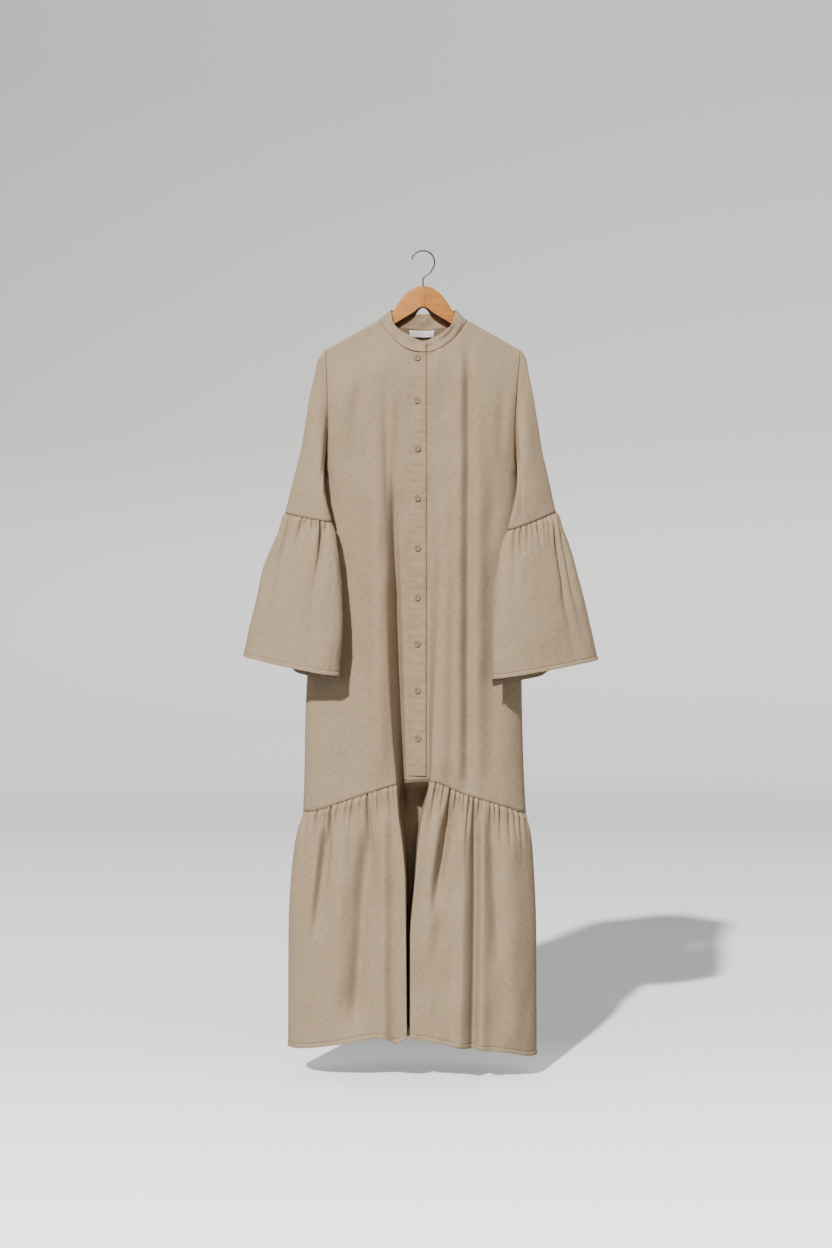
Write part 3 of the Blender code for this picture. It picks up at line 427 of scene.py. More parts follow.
# Fields for what a piece of cloth was cut to before it was sewn and hung, in metres; no cuts are
# listed here.
SheetCut = namedtuple("SheetCut", "width length area held rests_on")

# Studio, in metres.
FLOOR_Z = -1.59
WALL_START = 5.4
WALL_CURVE = 2.0
WALL_TOP = 5.0
# strength of the painted light that makes the floor glow towards the camera
FLOOR_PAINTED_GLOW = 1.1
CAMERA_PLACE = (-0.0135, -3.35, -0.72)
KEY_POWER = 6.6
KEY_COLOUR = (1.0, 0.985, 0.96)
KEY_TURN = (math.radians(53.1), 0.0, math.radians(-22.4))
FILL_POWER = 1.05
FILL_LOW = "#5E5A56"
FILL_LEVEL = "#FFFFFF"
FILL_HIGH = "#B4B4B6"


def smoothstep(t):
    t = np.clip(t, 0.0, 1.0)
    return t * t * (3.0 - 2.0 * t)


def read(table, key, name, at):
    """Column `name` of a table at `at`, along smooth curves through its rows."""
    keys = np.array([getattr(row, key) for row in table], float)
    values = np.array([getattr(row, name) for row in table], float)
    if keys[0] > keys[-1]:
        keys = keys[::-1]
        values = values[::-1]
    slopes = np.diff(values) / np.diff(keys)
    inner = np.where(slopes[1:] * slopes[:-1] > 0, (slopes[1:] + slopes[:-1]) / 2, 0)
    limit = 2 * np.minimum(abs(slopes[1:]), abs(slopes[:-1]))
    inner = np.clip(inner, -limit, limit)
    tangents = np.concatenate(([slopes[0]], inner, [slopes[-1]]))
    at = np.clip(at, keys[0], keys[-1])
    i = np.clip(np.searchsorted(keys, at) - 1, 0, len(keys) - 2)
    span = keys[i + 1] - keys[i]
    t = (at - keys[i]) / span
    low = (2 * t ** 3 - 3 * t ** 2 + 1) * values[i]
    low = low + (t ** 3 - 2 * t ** 2 + t) * span * tangents[i]
    high = (3 * t ** 2 - 2 * t ** 3) * values[i + 1]
    high = high + (t ** 3 - t ** 2) * span * tangents[i + 1]
    return low + high


def shoulder_z(x):
    return NECK_SIDE_Z - SHOULDER_SLOPE * (np.abs(x) - NECK_SIDE)


def top_z(x, side):
    """Upper edge of a body panel: neck seam, then shoulder seam."""
    middle = NECK_FRONT_Z if side == "front" else NECK_BACK_Z
    share = np.minimum(np.abs(x) / NECK_SIDE, 1.0)
    neck = middle + (NECK_SIDE_Z - middle) * share ** NECK_POWER
    return np.where(np.abs(x) >= NECK_SIDE, shoulder_z(x), neck)


def section(x, z):
    """Share of the way from the body's middle to its side, and its half width."""
    left = read(BODY, "z", "left", z)
    right = read(BODY, "z", "right", z)
    half = (right - left) / 2
    across = np.minimum(np.abs(x - (left + right) / 2) / half, 1.0)
    return across, half


def rim(z, across):
    """How far the armhole edge stands off the middle plane.

    Away from the edge it fades out softly, so no line runs over the chest.
    """
    middle = (SHOULDER_TIP_Z + UNDERARM_Z) / 2
    half = (SHOULDER_TIP_Z - UNDERARM_Z) / 2
    below = np.maximum(middle - z, 0.0) / half
    edge = ARMHOLE_RIM * np.sqrt(np.clip(1.0 - below ** 2, 0.0, 1.0))
    soft = ARMHOLE_RIM * smoothstep(1.0 - below / 1.7)
    near = smoothstep((across - 0.88) / 0.12)
    lower = edge * near + soft * (1.0 - near)
    share = smoothstep((SHOULDER_TIP_Z - z) / half)
    upper = TIP_RIM + (ARMHOLE_RIM - TIP_RIM) * share
    return np.where(z < middle, lower, upper)


def shoulder_roll(x, z):
    """0 on the shoulder seam and 1 where the cloth has rolled over the hanger."""
    drop = np.maximum(shoulder_z(x) - z, 0.0)
    rolled = 1.0 - np.minimum(drop / SHOULDER_ROLL, 1.0)
    return np.sqrt(1.0 - rolled * rolled)


def valley_share(x, z):
    """0 outside the middle fold and 1 on its floor."""
    left = read(VALLEY, "z", "left", z)
    right = read(VALLEY, "z", "right", z)
    into_left = smoothstep((x - left) / read(VALLEY, "z", "left_wall", z))
    into_right = smoothstep((right - x) / read(VALLEY, "z", "right_wall", z))
    return into_left * into_right


def path_lengths(points):
    """How far along a path each of its points lies."""
    steps = np.linalg.norm(np.diff(points, axis=0), axis=1)
    return np.concatenate(([0.0], np.cumsum(steps)))


def soft_folds(rows, x, z):
    """Long folds of hung cloth, eased in at the top and out at the foot."""
    total = np.zeros_like(x)
    for row in rows:
        along = (row.z_top - z) / (row.z_top - row.z_low)
        centre = row.x_top + (row.x_low - row.x_top) * along
        strength = smoothstep((row.z_top - z) / row.fade_in)
        strength = strength * smoothstep((z - row.z_low) / row.fade_out)
        total += row.height * strength * np.exp(-((x - centre) / row.width) ** 2)
    return total


def pressed_creases(rows, x, z):
    """Ridges and troughs along short lines, eased out at both ends."""
    total = np.zeros_like(x)
    for row in rows:
        run_x = row.x_end - row.x_start
        run_z = row.z_end - row.z_start
        length = math.hypot(run_x, run_z)
        along = ((x - row.x_start) * run_x + (z - row.z_start) * run_z) / length ** 2
        aside = ((x - row.x_start) * run_z - (z - row.z_start) * run_x) / length
        ends = smoothstep(along / row.ease) * smoothstep((1 - along) / row.ease)
        total += row.height * ends * np.exp(-np.abs(aside / row.width) ** row.blunt)
    return total


def unevenness(across, along, seed, wave, height):
    """Slight waviness of hung cotton: a few crossing swells of one rough length."""
    chance = np.random.default_rng(seed)
    total = np.zeros_like(across)
    for _ in range(10):
        turn = chance.uniform(0, 2 * math.pi)
        phase = chance.uniform(0, 2 * math.pi)
        step = 2 * math.pi / (wave * chance.uniform(0.6, 1.8))
        swell = across * math.cos(turn) + 0.55 * along * math.sin(turn)
        total += np.sin(swell * step + phase)
    return total * height / 3.0


def button_puckers(x, z):
    """The cloth is drawn in a little at each button."""
    total = np.zeros_like(x)
    for number, height in enumerate(BUTTON_Z):
        away = np.hypot(x - BUTTON_X, (z - height) * 1.2)
        ripple = np.sin(4.0 * np.arctan2(z - height, x - BUTTON_X) + number)
        total -= 0.8 * np.exp(-((away / 7.0) ** 2))
        total += 0.3 * ripple * np.exp(-(((away - 13.0) / 7.0) ** 2))
        middle = height - 45.0
        total += 0.5 * np.exp(-((x + 22) / 7.0) ** 2 - ((z - middle) / 18.0) ** 2)
    band = np.exp(-(((x + 12.0) / 20.0) ** 4))
    return total + band * unevenness(z, x * 0.5, 15, 16.0, 0.4)


def body_y(x, z, side, detail=True):
    """Outer face of the front or of the back."""
    across, _ = section(x, z)
    bulge = (1.0 - across ** BODY_POWER) ** (1.0 / BODY_POWER)
    bulge = bulge * smoothstep((shoulder_z(x) - z) / SHOULDER_DROP)
    edge = rim(z, across)
    out = edge * shoulder_roll(x, z) + (read(BODY, "z", side, z) - edge) * bulge
    calm = smoothstep((1.0 - across) / 0.1)
    if side == "front":
        out = out + soft_folds(FRONT_FOLDS, x, z) * calm
        out = out - read(VALLEY, "z", "depth", z) * valley_share(x, z)
    else:
        out = out + soft_folds(BACK_FOLDS, x, z) * calm
    if detail:
        fine = unevenness(x, z, 5 if side == "front" else 6, 75.0, 0.9)
        fine += unevenness(x, z, 7 if side == "front" else 8, 26.0, 0.28)
        if side == "front":
            fine += pressed_creases(FRONT_CREASES, x, z) + button_puckers(x, z)
        out = out + fine * smoothstep((shoulder_z(x) - z) / 30.0) * calm
    out = np.maximum(out, SIDE_GAP)
    return -out if side == "front" else out


def across_normal(x, z, side):
    """Level direction that points out of the body's section."""
    left = read(BODY, "z", "left", z)
    right = read(BODY, "z", "right", z)
    across, half = section(x, z)
    sign = np.where(x > (left + right) / 2, 1.0, -1.0)
    depth = read(BODY, "z", side, z)
    nx = sign * across ** (BODY_POWER - 1) / half
    ny = (1.0 - across ** BODY_POWER) ** ((BODY_POWER - 1) / BODY_POWER) / depth
    size = np.hypot(nx, ny)
    return nx / size, (-ny if side == "front" else ny) / size


def make_collection(name):
    collection = bpy.data.collections.new(name)
    bpy.context.scene.collection.children.link(collection)
    return collection


def finish_piece(obj, name, material, collection):
    """Name, material, collection and body of a piece whose mesh is done."""
    obj.name = name
    obj.data.name = name
    obj.data.materials.clear()
    obj.data.materials.append(material)
    for old in list(obj.users_collection):
        old.objects.unlink(obj)
    collection.objects.link(obj)
    obj.select_set(False)
    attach(obj, "root")
    return obj


def object_from(shape, name):
    """A new object from a bmesh, active and selected."""
    mesh = bpy.data.meshes.new(name)
    shape.to_mesh(mesh)
    shape.free()
    obj = bpy.data.objects.new(name, mesh)
    bpy.context.scene.collection.objects.link(obj)
    bpy.ops.object.select_all(action="DESELECT")
    bpy.context.view_layer.objects.active = obj
    obj.select_set(True)
    return obj


def apply_modifiers(obj):
    bpy.ops.object.select_all(action="DESELECT")
    bpy.context.view_layer.objects.active = obj
    obj.select_set(True)
    for modifier in list(obj.modifiers):
        bpy.ops.object.modifier_apply(modifier=modifier.name)
    obj.select_set(False)


def cloth_sheet(name, points, wall, outward, closed, material, node, collection):
    """Cloth over a grid of points, rows going up and columns going round."""
    rows, columns, _ = points.shape
    bpy.ops.mesh.primitive_grid_add(
        x_subdivisions=columns - 1, y_subdivisions=rows - 1, size=1.0
    )
    obj = bpy.context.active_object
    mesh = obj.data
    places = np.empty(len(mesh.vertices) * 3)
    mesh.vertices.foreach_get("co", places)
    places = places.reshape(-1, 3)
    column = np.rint((places[:, 0] + 0.5) * (columns - 1)).astype(int)
    row = np.rint((places[:, 1] + 0.5) * (rows - 1)).astype(int)
    mesh.vertices.foreach_set("co", (points[row, column] * MM).ravel())

    # The weave follows the cloth: its map is in metres along both threads.
    steps = np.linalg.norm(np.diff(points, axis=1), axis=2).mean(axis=0)
    along = np.concatenate(([0.0], np.cumsum(steps))) * MM
    rises = np.linalg.norm(np.diff(points, axis=0), axis=2).mean(axis=1)
    up = np.concatenate(([0.0], np.cumsum(rises))) * MM
    corner = np.empty(len(mesh.loops), int)
    mesh.loops.foreach_get("vertex_index", corner)
    layer = mesh.uv_layers[0] if mesh.uv_layers else mesh.uv_layers.new()
    layer.name = "threads"
    layer.data.foreach_set(
        "uv", np.stack([along[column[corner]], up[row[corner]]], axis=1).ravel()
    )
    if closed:
        shape = bmesh.new()
        shape.from_mesh(mesh)
        bmesh.ops.remove_doubles(shape, verts=shape.verts, dist=0.00001)
        shape.to_mesh(mesh)
        shape.free()
    solid = obj.modifiers.new("Wall", "SOLIDIFY")
    solid.thickness = wall * MM
    solid.offset = 1.0 if outward else -1.0
    solid.use_even_offset = False
    apply_modifiers(obj)
    obj.data.shade_smooth()
    finish_piece(obj, name, material, collection)
    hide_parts(node)
    return obj


def panel_rows(side_rows):
    """Rows of a body panel from the skirt seam to the top, as (guide, value)."""
    rows = [("seam", share) for share in np.linspace(1.0, 0.0, 26)[:-1]]
    rows += [("level", z) for z in np.linspace(SKIRT_Z, YOKE_Z, side_rows)]
    rows += [("top", share) for share in np.linspace(0.0, 1.0, 22)[1:-1]]
    drops = (32, 27, 23, 19, 16, 13, 10.5, 8.4, 6.6, 5, 3.6, 2.4, 1.5, 0.8, 0.35, 0.1, 0)
    rows += [("drop", drop) for drop in drops]
    return rows


def panel_z(rows, x, side):
    """Height of each row where the row's own x is given."""
    edges = FRONT_EDGES if side == "front" else BACK_EDGES
    z = np.empty_like(x)
    for index, (guide, value) in enumerate(rows):
        if guide == "seam":
            seam = read(edges, "x", "seam", x[index])
            z[index] = SKIRT_Z + (seam - SKIRT_Z) * value
        elif guide == "level":
            z[index] = value
        else:
            top = top_z(x[index], side)
            if guide == "drop":
                z[index] = top - value
            else:
                z[index] = YOKE_Z + (top - 32.0 - YOKE_Z) * value
    return z


def side_shares(count):
    """Even steps over most of a panel and short ones where it turns to its side."""
    turn = np.linspace(0.0, math.pi / 2, count)
    return np.sin(turn) * 0.4 + np.linspace(0.0, 1.0, count) * 0.6


def front_columns():
    columns = [("floor", share) for share in np.linspace(0.0, 1.0, 10)[:-1]]
    columns += [("strip", share) for share in np.linspace(0.0, 1.0, 15)[:-1]]
    columns += [("wall", share) for share in np.linspace(0.0, 1.0, 13)[:-1]]
    columns += [("side", share) for share in side_shares(58)]
    return columns


def front_x(columns, z, half):
    sign = -1 if half == "right" else 1
    own = "left" if half == "right" else "right"
    centre = CENTRE_X + sign * SIDE_GAP / 2
    placket = PLACKET_LEFT if half == "right" else PLACKET_RIGHT
    x = np.empty_like(z)
    for index, (guide, share) in enumerate(columns):
        level = z[:, index]
        edge = read(VALLEY, "z", own, level)
        foot = edge - sign * read(VALLEY, "z", own + "_wall", level)
        if half == "right":
            foot = np.minimum(foot, placket - 1.5)
        else:
            foot = np.maximum(foot, placket + 1.5)
        if guide == "floor":
            x[:, index] = centre + (placket - centre) * share
        elif guide == "strip":
            x[:, index] = placket + (foot - placket) * share
        elif guide == "wall":
            x[:, index] = foot + (edge - foot) * share
        else:
            side = read(BODY, "z", own, level)
            x[:, index] = edge + (side - edge) * share
    return x


def front_points(half):
    columns = front_columns()
    rows = panel_rows(150)
    z = np.full((len(rows), len(columns)), YOKE_Z)
    for _ in range(FOLDING_PASSES):
        x = front_x(columns, z, half)
        z = panel_z(rows, x, "front")
    points = np.stack([x, body_y(x, z, "front"), z], axis=2)
    return points[:, ::-1] if half == "right" else points


def back_points():
    shares = side_shares(62)
    shares = np.concatenate((-shares[::-1], shares[1:]))
    rows = panel_rows(140)
    z = np.full((len(rows), len(shares)), YOKE_Z)
    for _ in range(FOLDING_PASSES):
        left = read(BODY, "z", "left", z)
        right = read(BODY, "z", "right", z)
        x = (left + right) / 2 + (right - left) / 2 * shares[None, :]
        z = panel_z(rows, x, "back")
    points = np.stack([x, body_y(x, z, "back"), z], axis=2)
    return points[:, ::-1]


def placket_lift(x):
    """The folded band lies thicker towards its free edge."""
    return PLACKET_LIFT + PLACKET_RISE * smoothstep((x - PLACKET_LEFT) / 30.0)


def placket_points():
    x = np.linspace(PLACKET_LEFT, PLACKET_RIGHT, 22)
    shares = np.linspace(0.0, 1.0, 330)
    columns = np.repeat(x[None, :], len(shares), axis=0)
    top = top_z(x, "front")
    z = PLACKET_END + (top[None, :] - PLACKET_END) * shares[:, None]
    y = body_y(columns, z, "front") - placket_lift(columns) - SEAM_GAP
    return np.stack([columns, y, z], axis=2)


def collar_top(x, side):
    """Upper edge of the band above the neck seam's point at x."""
    start = 0.0 if side == "front" else 180.0
    turns = np.linspace(start, 90.0, 181)
    seam = read(COLLAR, "turn", "seam_x", turns)
    turn = np.interp(np.abs(x), seam, turns)
    top_x = np.copysign(read(COLLAR, "turn", "top_x", turn), x)
    top = [top_x, read(COLLAR, "turn", "top_y", turn), read(COLLAR, "turn", "top_z", turn)]
    return np.stack(top, axis=1)


def collar_points():
    """Inner face of the band, from under the lap round the neck to its outer end."""
    start = math.asin((CENTRE_X + SIDE_GAP / 2) / NECK_SIDE)
    end = math.asin(PLACKET_RIGHT / NECK_SIDE)
    first = NECK_SIDE * np.sin(np.linspace(start, math.pi / 2, 60))
    middle = NECK_SIDE * np.cos(np.linspace(0.0, math.pi, 90))[1:-1]
    last = NECK_SIDE * np.sin(np.linspace(-math.pi / 2, end, 70))
    parts = []
    for x, side in ((first, "front"), (middle, "back"), (last, "front")):
        seam = top_z(x, side)
        away = body_y(x, seam, side) + (-SEAM_GAP if side == "front" else SEAM_GAP)
        wide = x * (1.0 + SEAM_GAP / NECK_SIDE)
        foot = np.stack([wide, away, seam - COLLAR_OVERLAP], axis=1)
        parts.append((foot, collar_top(x, side)))
    foot = np.concatenate([part[0] for part in parts])
    top = np.concatenate([part[1] for part in parts])
    lap = np.zeros(len(foot))
    lap[-len(last):] = COLLAR_LAP * smoothstep((last + 52.0) / 30.0)
    run = path_lengths(foot)
    shares = np.linspace(0.0, 1.0, 16)
    grid = foot[None] + (top - foot)[None] * shares[:, None, None]
    grid[:, :, 1] -= lap[None, :]
    out = np.stack([grid[:, :, 0] * 0.4, grid[:, :, 1]], axis=2)
    out /= np.maximum(np.linalg.norm(out, axis=2, keepdims=True), 1.0)
    up = np.repeat(shares[:, None] * 34.0, len(foot), axis=1)
    along = np.repeat(run[None, :], len(shares), axis=0)
    wave = unevenness(along, up, 11, 30.0, 1.2) + unevenness(along, up, 12, 13.0, 0.35)
    belly = np.sin(math.pi * shares)[:, None] * 0.5
    in_front = (foot[:, 1] < 0)[None, :]
    for row in COLLAR_DENTS:
        dent = np.exp(-((foot[None, :, 0] - row.x) / row.width) ** 2)
        dent = dent * np.exp(-((shares[:, None] - row.height) / 0.22) ** 2)
        belly = belly - COLLAR_DENT_DEPTH * in_front * dent
    grid[:, :, :2] += out * ((wave * smoothstep(shares * 3.0)[:, None]) + belly)[:, :, None]
    return grid


def armhole_point(turn, half):
    """Armhole edge: turn 0 is the shoulder tip, a quarter turn is the front."""
    middle = (SHOULDER_TIP_Z + UNDERARM_Z) / 2
    z = middle + (SHOULDER_TIP_Z - UNDERARM_Z) / 2 * np.cos(turn)
    x = read(BODY, "z", "left" if half == "right" else "right", z)
    front = body_y(x, z, "front", detail=False)
    back = body_y(x, z, "back", detail=False)
    y = np.where(np.sin(turn) >= 0, front, back)
    outward = SEAM_GAP + UNDERARM_GAP * np.sin(turn / 2) ** 8
    x = x - outward if half == "right" else x + outward
    return np.stack([x, y, z], axis=-1)


def ring_parts(row):
    outer = np.stack([row.outer_x, row.outer_y, row.outer_z], axis=-1)
    inner = np.stack([row.inner_x, row.inner_y, row.inner_z], axis=-1)
    return (outer + inner) / 2, (outer - inner) / 2


def ring_point(row, turn, swing=0.0):
    """A point of a flattened ring: turn 0 is its outer end, a quarter is its front."""
    middle, along = ring_parts(row)
    level = np.hypot(along[..., 0], along[..., 1])[..., None]
    forward = np.stack(
        [-along[..., 1], along[..., 0], np.zeros_like(along[..., 0])], axis=-1
    ) / level
    forward = np.where(forward[..., 1:2] > 0, -forward, forward)
    turn = np.asarray(turn)[..., None]
    cosine = np.sign(np.cos(turn)) * np.abs(np.cos(turn)) ** (2 / TUBE_POWER)
    sine = np.sign(np.sin(turn)) * np.abs(np.sin(turn)) ** (2 / TUBE_POWER)
    thick = np.where(sine > 0, np.asarray(row.front)[..., None], np.asarray(row.back)[..., None])
    out = along * np.cos(turn) / level + forward * np.sin(turn)
    return middle + along * cosine + forward * sine * thick + out * np.asarray(swing)[..., None]


def ring_axis(row):
    """Direction up the tube, square to the ring."""
    _, along = ring_parts(row)
    level = np.stack([-along[..., 1], along[..., 0], np.zeros_like(along[..., 0])], axis=-1)
    axis = np.cross(along, level)
    axis /= np.linalg.norm(axis, axis=-1, keepdims=True)
    return np.where(axis[..., 2:] > 0, axis, -axis)


def sleeve_points(half):
    """From the cuff seam up to the armhole, round the side of the body."""
    end = SLEEVE_END[half]
    away = -1.0 if half == "right" else 1.0
    turn = np.linspace(0.0, 2 * math.pi, 97)
    stop = ring_point(TubeRow(*[np.full_like(turn, value) for value in end]), turn)
    straight = ring_axis(end) * SLEEVE_STRAIGHT
    start = armhole_point(turn, half)
    low = ((1.0 - np.cos(turn)) / 2) ** 1.5
    behind = np.sqrt(np.maximum(-np.sin(turn), 0.0))
    rows = [stop]
    shares = np.concatenate(
        (np.linspace(1.0, 0.1, 70), np.linspace(0.09, 0.012, 12), [LIP_SHARE, LIP_SHARE / 2, 0.0])
    )
    for down in shares:
        past_lip = max(down - LIP_SHARE, 0.0) / (1.0 - LIP_SHARE)
        belly = math.sin(math.pi * past_lip ** BELLY_START) * low
        out = away * (UNDERARM_OUT + UNDERARM_BACK_OUT * behind) * belly
        forward = -UNDERARM_FORWARD * (1.0 - (1.0 - UNDERARM_BACK_SHARE) * behind) * belly
        lip = smoothstep(down / LIP_SHARE) * smoothstep((LIP_END - down) / LIP_END)
        crown = smoothstep(down / 0.06) * smoothstep((0.6 - down) / 0.35)
        crown = SLEEVE_CROWN[half] * crown * np.sqrt(np.maximum(np.cos(turn), 0.0))
        out = out + away * (ARMHOLE_LIP * lip + crown)
        point = start + (stop + straight - start) * down
        point = point + np.stack([out, forward, np.zeros_like(out)], axis=-1)
        centre = point.mean(axis=0)
        spoke = point - centre
        spoke[:, 2] = 0.0
        spoke /= np.maximum(np.linalg.norm(spoke, axis=1, keepdims=True), 1.0)
        fold = np.zeros_like(turn)
        for row in SLEEVE_FOLDS[half]:
            share = np.clip((down - row.start) / (row.end - row.start), 0, 1)
            at = row.turn_top + (row.turn_low - row.turn_top) * share
            grow = smoothstep((down - row.start) / 0.2) * smoothstep((row.end - down) / 0.12)
            fold += row.height * grow * np.exp(-((turn - at) / row.width) ** 2)
        calm = smoothstep(down / 0.1) * smoothstep((1.0 - down) / 0.06)
        drop = np.full_like(turn, down * SLEEVE_TALL)
        fold += calm * unevenness(turn * 40.0, drop, 21, 60.0, 0.8)
        rows.append(point + spoke * fold[:, None])
    points = np.stack(rows)
    return points if half == "right" else points[:, ::-1]


def grown(row, wall):
    """A ring that lies one wall outside another."""
    outer = np.array((row.outer_x, row.outer_y, row.outer_z), float)
    inner = np.array((row.inner_x, row.inner_y, row.inner_z), float)
    along = (outer - inner) / np.linalg.norm(outer - inner) * wall
    return TubeRow(row.down, *(outer + along), *(inner - along), row.front + wall, row.back + wall)


def cuff_row(half, down):
    rows = (grown(SLEEVE_END[half], SOLID_CLOTH),) + CUFF[half]
    return TubeRow(*[read(rows, "down", name, down) for name in TubeRow._fields])


def back_cuff_drop(turn, down):
    """The back layer hangs lower from its inner end to a fold past its middle."""
    share = (turn / (2 * math.pi)) % 1.0
    lower = smoothstep((share - 0.5) / 0.06) * smoothstep((0.80 - share) / 0.05)
    return BACK_CUFF_DROP * lower * down ** 2


def gather_profile(aside, below, length, depth):
    """One gather: a sharp nick at the seam that opens into a soft trough below."""
    width = 1.4 + 0.055 * below
    strength = GATHER_GAIN * depth * np.exp(-((below / length) ** 1.7))
    strength = strength * (0.45 + 0.55 * smoothstep(below / 6.0))
    return -strength * np.exp(-np.abs(aside / width) ** 1.35)


def turned_hem(up):
    """Swing of a hem turned inside: a thicker edge below a row of stitches."""
    thick = 0.6 * smoothstep((HEM_DEPTH - up) / 2.0)
    return thick - 1.0 * np.exp(-((up - HEM_DEPTH) / 1.2) ** 2)


def cuff_point(half, turn, down):
    """A point of the cuff; down is 0 at its seam and 1 at its hem."""
    row = cuff_row(half, down)
    _, along = ring_parts(row)
    reach = np.linalg.norm(along, axis=-1) * 2
    below = down * CUFF_TALL
    flat = np.sign(np.cos(turn)) * np.abs(np.cos(turn)) ** (2 / TUBE_POWER)
    place = (1.0 - flat) / 2
    swing = np.zeros_like(turn)
    for side in (1, -1):
        facing = smoothstep((side * np.sin(turn) + 0.12) / 0.24)
        rows = CUFF_GATHERS[half] if side > 0 else CUFF_GATHERS[half][::2]
        for gather in rows:
            share = np.clip(below / gather.length, 0, 1)
            at = gather.place_seam + (gather.place_low - gather.place_seam) * share
            if side < 0:
                at = 1.0 - at * 0.94
            depth = CUFF_GAIN * gather.depth
            swing += facing * gather_profile((place - at) * reach, below, gather.length, depth)
    puff = 3.6 * smoothstep(below / 8.0) * np.exp(-((below / 46.0) ** 2))
    swing += puff + turned_hem((1.0 - down) * CUFF_TALL)
    calm = smoothstep(below / 30.0)
    swing += calm * unevenness(turn * 60.0, below, 31 if half == "right" else 32, 55.0, 1.0)
    swing += calm * unevenness(turn * 60.0, below, 33 if half == "right" else 34, 20.0, 0.25)
    if half == "right":
        swing += pressed_creases((CUFF_CREASE,), place * CUFF_SPREAD, below)
    point = ring_point(row, turn, swing)
    point[..., 2] -= back_cuff_drop(turn, down)
    return point - ring_axis(row) * SEAM_GAP


def cuff_points(half):
    turn = np.linspace(0.0, 2 * math.pi, 321)
    down = np.concatenate((
        1.0 - np.array(HEM_STEPS) / CUFF_TALL, np.linspace(0.9, 0.22, 34)[:-1],
        np.linspace(0.22, 0.0, 36),
    ))
    turns = np.repeat(turn[None, :], len(down), axis=0)
    downs = np.repeat(down[:, None], len(turn), axis=1)
    points = cuff_point(half, turns, downs)
    points[:, -1] = points[:, 0]
    return points if half == "right" else points[:, ::-1]


def skirt_surface(x, below_share, side, gathers):
    """Skirt points at x, by share of the way from the seam to the hem."""
    edges = FRONT_EDGES if side == "front" else BACK_EDGES
    seam = read(edges, "x", "seam", x) - SEAM_GAP
    hem = read(edges, "x", "hem", x)
    z = seam + (hem - seam) * below_share
    below = seam - z
    y = body_y(x, z, side)
    if side == "front":
        y = y + read(SKIRT_TUCK, "below", "depth", below) * valley_share(x, z)
    out_x, out_y = across_normal(x, z, side)
    swing = np.zeros_like(x)
    for gather in gathers:
        share = np.clip(below / gather.length, 0, 1)
        at = gather.x_seam + (gather.x_low - gather.x_seam) * share
        swing += gather_profile(x - at, below, gather.length, gather.depth)
    across, _ = section(x, z)
    away = smoothstep((1.0 - across) / 0.02)
    puff = 4.0 * smoothstep(below / 9.0) * np.exp(-((below / 52.0) ** 2))
    swing = (swing + puff) * away + turned_hem(z - hem)
    return np.stack([x + out_x * swing, y + out_y * swing, z], axis=-1)


def skirt_rows():
    """Shares down the skirt, hem first, close together at the hem and the gathers."""
    return np.concatenate((
        1.0 - np.array(HEM_STEPS) / SKIRT_TALL, np.linspace(0.93, 0.25, 34)[:-1],
        np.linspace(0.25, 0.0, 48),
    ))


def skirt_front_points():
    shares_left = side_shares(180)[::-1]
    shares_right = side_shares(190)
    floor = np.linspace(0.0, 1.0, 42)[1:-1]
    down = skirt_rows()
    columns = len(shares_left) + len(floor) + len(shares_right)
    z = np.repeat((-1060.0 - 450.0 * down)[:, None], columns, axis=1)
    for _ in range(FOLDING_PASSES):
        left = read(VALLEY, "z", "left", z)
        right = read(VALLEY, "z", "right", z)
        side_left = read(BODY, "z", "left", z)
        side_right = read(BODY, "z", "right", z)
        a = len(shares_left)
        b = a + len(floor)
        x = np.empty_like(z)
        x[:, :a] = left[:, :a] + (side_left - left)[:, :a] * shares_left[None, :]
        x[:, a:b] = left[:, a:b] + (right - left)[:, a:b] * floor[None, :]
        x[:, b:] = right[:, b:] + (side_right - right)[:, b:] * shares_right[None, :]
        seam = read(FRONT_EDGES, "x", "seam", x) - SEAM_GAP
        z = seam + (read(FRONT_EDGES, "x", "hem", x) - seam) * down[:, None]
    return skirt_surface(x, np.repeat(down[:, None], columns, axis=1), "front", FRONT_GATHERS)


def back_gathers():
    """Gathers of the back's seam, uneven in place, length and depth."""
    chance = np.random.default_rng(41)
    rows = []
    x = -222.0
    while x < 196.0:
        length = float(chance.choice(BACK_GATHER_LENGTHS, p=BACK_GATHER_SHARES))
        depth = 2.2 + length * 0.03 + chance.uniform(0.0, 1.2)
        rows.append(GatherRow(x, x * 1.035 + chance.uniform(-4, 4), length, min(depth, 6.5)))
        x += chance.uniform(8.0, 17.0)
    return rows


def skirt_back_points():
    shares = side_shares(180)
    shares = np.concatenate((-shares[::-1], shares[1:]))
    down = skirt_rows()
    z = np.repeat((-1060.0 - 450.0 * down)[:, None], len(shares), axis=1)
    for _ in range(FOLDING_PASSES):
        left = read(BODY, "z", "left", z)
        right = read(BODY, "z", "right", z)
        x = (left + right) / 2 - (right - left) / 2 * shares[None, :]
        seam = read(BACK_EDGES, "x", "seam", x) - SEAM_GAP
        z = seam + (read(BACK_EDGES, "x", "hem", x) - seam) * down[:, None]
    return skirt_surface(x, np.repeat(down[:, None], len(shares), axis=1), "back", back_gathers())


def label_points():
    x = np.linspace(LABEL_CENTRE - LABEL_WIDTH / 2, LABEL_CENTRE + LABEL_WIDTH / 2, 30)
    z = np.linspace(LABEL_TOP - LABEL_HEIGHT, LABEL_TOP, 10)
    xs = np.repeat(x[None, :], len(z), axis=0)
    zs = np.repeat(z[:, None], len(x), axis=1)
    y = body_y(xs, zs, "back", detail=False) - LABEL_OFF_BACK
    y -= LABEL_BELLY * np.sin((xs - x[0]) / LABEL_WIDTH * math.pi)
    return np.stack([xs, y, zs], axis=2)


